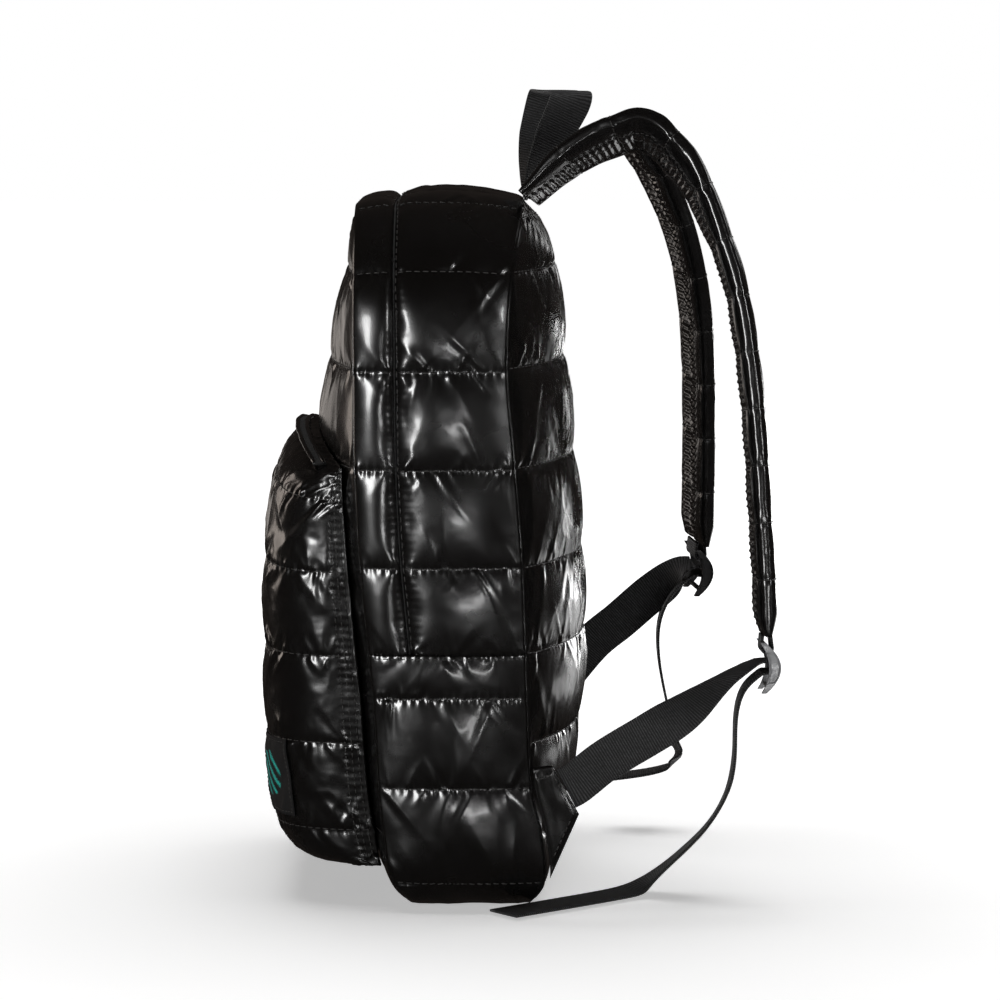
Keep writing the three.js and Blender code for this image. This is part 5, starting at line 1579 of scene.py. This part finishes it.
motif = multiplied(tree, inside_ring, strokes)
tree.links.new(mixed(tree, motif, (0.01, 0.01, 0.011), (0.0, 0.6, 0.5)), shader.inputs["Base Color"])
bumped(tree, shader, [(ribs_in(tree, 0.7 * mm, "Y"), 0.6, 0.2 * mm), (ribs_in(tree, 0.7 * mm, "X"), 0.4, 0.15 * mm)])

LABEL_GRID = 45  # points along each side of the label
label_y = -0.9 * POCKET_HALF_WIDTH + np.linspace(0, LABEL_WIDTH, LABEL_GRID)
label_z = LABEL_FOOT + np.linspace(0, LABEL_HEIGHT, LABEL_GRID)
label_x = np.empty((LABEL_GRID, LABEL_GRID))
for i, z in enumerate(label_z):
    for j, y in enumerate(label_y):
        label_x[i, j] = first_hit(pocket_tree, (-1, y, z), (1, 0, 0))[0]
lifted = label_x.copy()
for _ in range(14):  # the stiff patch spans the small puckers, but never dips into the cloth
    lifted = np.minimum(neighbour_mean(lifted), label_x)
front_x = lifted - 0.2 * mm - LABEL_THICKNESS * 0.7
front = np.stack([front_x, *np.broadcast_arrays(label_y[None, :], label_z[:, None])], -1)[:, ::-1]


def label_back(row_choice, column_choice):
    back = front[np.ix_(row_choice, column_choice)].copy()
    back[..., 0] += LABEL_THICKNESS * 0.7
    return back


label_map = np.stack([LABEL_WIDTH - (front[..., 1] - label_y[0]), front[..., 2] - LABEL_FOOT], -1)
label = sewn_wall("pocket_label_patch", front, label_back, label_paint, label_map)
dress(label, "woven_label", "pocket_label")
label_normals = np.tile([-1.0, 0, 0], (LABEL_GRID, 1))
for line in (front[2, 1:-1], front[-3, 1:-1], front[1:-1, 2], front[1:-1, -3]):
    stitch_along("pocket_label_thread", line, label_normals[: len(line)], 2.6 * mm, 1.8 * mm, 0.08 * mm)
sew_thread("pocket_label_thread", radius=0.22 * mm)

# %% [markdown]
# ## Strap adjusters
# An adjuster is a moulded frame: two bowed rails joined by three round bars. A rail starts as a box that is cut along
# its length, each cut is pushed out along the bow and thinned towards the tips, and a groove is inset in its side. The
# bars are cylinders with bevelled ends. It is modelled flat at the origin once, and a copy goes to each strap.

# %% One adjuster at the origin
RAIL_CUTS = 11


def select_level(level):
    """In edit mode, selects the vertices at one place along the rail."""
    mesh = bmesh.from_edit_mesh(bpy.context.edit_object.data)
    for part in (*mesh.faces, *mesh.edges):
        part.select = False
    for vertex in mesh.verts:
        vertex.select = abs(vertex.co.y - level) < 0.2 * mm
    mesh.select_flush(True)
    bmesh.update_edit_mesh(bpy.context.edit_object.data)


def pick(parts, test):
    """Goes into edit mode with only those edges or faces selected that pass a test."""
    bpy.ops.object.mode_set(mode="EDIT")
    bpy.ops.mesh.select_all(action="DESELECT")
    bpy.ops.object.mode_set(mode="OBJECT")
    for part in parts:
        part.select = bool(test(part))
    bpy.ops.object.mode_set(mode="EDIT")


def rail_at(shift):
    """A bowed rail with a groove in its outer side."""
    bpy.ops.object.select_all(action="DESELECT")
    bpy.ops.mesh.primitive_cube_add(size=1, location=(shift, 0, 0), scale=(RAIL_WIDTH, ADJUSTER_LENGTH, RAIL_THICKNESS))
    rail = bpy.context.active_object
    bpy.ops.object.transform_apply(location=True, rotation=False, scale=True)
    levels = [vertex.co.y for vertex in rail.data.vertices]
    pick(rail.data.edges, lambda edge: abs(levels[edge.vertices[0]] - levels[edge.vertices[1]]) > 0.5 * ADJUSTER_LENGTH)
    bpy.ops.mesh.subdivide(number_cuts=RAIL_CUTS)
    for k in range(RAIL_CUTS + 2):
        share = k / (RAIL_CUTS + 1)
        level = ADJUSTER_LENGTH * (share - 0.5)
        select_level(level)
        slim = 0.55 + 0.85 * (1 - (2 * share - 1) ** 2)
        bpy.ops.transform.resize(value=(1, 1, slim), center_override=(shift, level, 0))
        bpy.ops.transform.translate(value=(0, 0, bow(share)))
    bpy.ops.object.mode_set(mode="OBJECT")
    outward = 1 if shift > 0 else -1
    pick(rail.data.polygons, lambda face: face.normal.x * outward > 0.9 and abs(face.center.y) < 0.36 * ADJUSTER_LENGTH)
    bpy.ops.mesh.inset(thickness=1.0 * mm, depth=0)
    bpy.ops.mesh.inset(thickness=0.4 * mm, depth=-0.6 * mm)
    bpy.ops.object.mode_set(mode="OBJECT")
    round_edges(rail, 0.35 * mm, 2)
    return rail


def round_edges(piece, width, segments):
    """Bevels the sharp edges of a piece."""
    bevel = piece.modifiers.new("rounded", "BEVEL")
    bevel.width, bevel.segments, bevel.limit_method, bevel.angle_limit = width, segments, "ANGLE", math.radians(40)
    bpy.context.view_layer.objects.active = piece
    bpy.ops.object.modifier_apply(modifier="rounded")


RAIL_SHIFT = WEBBING_WIDTH / 2 + 0.8 * mm + RAIL_WIDTH / 2
parts = [rail_at(-RAIL_SHIFT), rail_at(RAIL_SHIFT)]
for down_at in (TOP_BAR, 0, -TOP_BAR):
    bpy.ops.object.select_all(action="DESELECT")
    bpy.ops.mesh.primitive_cylinder_add(
        vertices=24, radius=BAR_THICKNESS / 2, depth=2 * RAIL_SHIFT + 1 * mm,
        location=(0, down_at, bow(down_at / ADJUSTER_LENGTH + 0.5)), rotation=(0, math.pi / 2, 0),
    )
    bar = bpy.context.active_object
    bpy.ops.object.transform_apply(location=True, rotation=True, scale=True)
    round_edges(bar, 0.3 * mm, 2)
    parts.append(bar)
bpy.ops.object.select_all(action="DESELECT")
for part in parts:
    part.select_set(True)
bpy.context.view_layer.objects.active = parts[0]
bpy.ops.object.join()
pattern = bpy.context.active_object
pattern.data.shade_smooth()
bpy.ops.object.shade_smooth_by_angle(angle=math.radians(50))
print("adjuster pattern:", len(pattern.data.polygons), "faces")

# %% A copy on each strap
# Both adjusters are the same dark plastic. The right one gets a pale grey copy of it, and that paler colour is a
# painted highlight.
painted_highlight_plastic, tree, shader = new_paint("adjuster_plastic_painted_highlight", (0.33, 0.335, 0.345), 0.22, 0.6)
tree.links.new(ranged(tree, noise_in(tree, 120, 3), 0.16, 0.36), shader.inputs["Roughness"])
bumped(tree, shader, [(noise_in(tree, 260, 3), 0.5, 0.5 * mm)])
for name, paint in (("right", painted_highlight_plastic), ("left", plastic)):
    centre, wide, down, out = adjuster_frames[name]
    copy = pattern.copy()
    copy.data = pattern.data.copy()
    copy.name = copy.data.name = f"adjuster_{name}_frame"
    bpy.context.scene.collection.objects.link(copy)
    frame_matrix = Matrix([[wide[k], down[k], out[k], centre[k]] for k in range(3)] + [[0, 0, 0, 1]])
    copy.data.transform(frame_matrix)
    copy.data.update()
    copy.data.materials.clear()
    copy.data.materials.append(paint)
    dress(copy, "adjuster_plastic", f"adjuster_{name}")
    print(copy.name)
bpy.data.objects.remove(pattern)
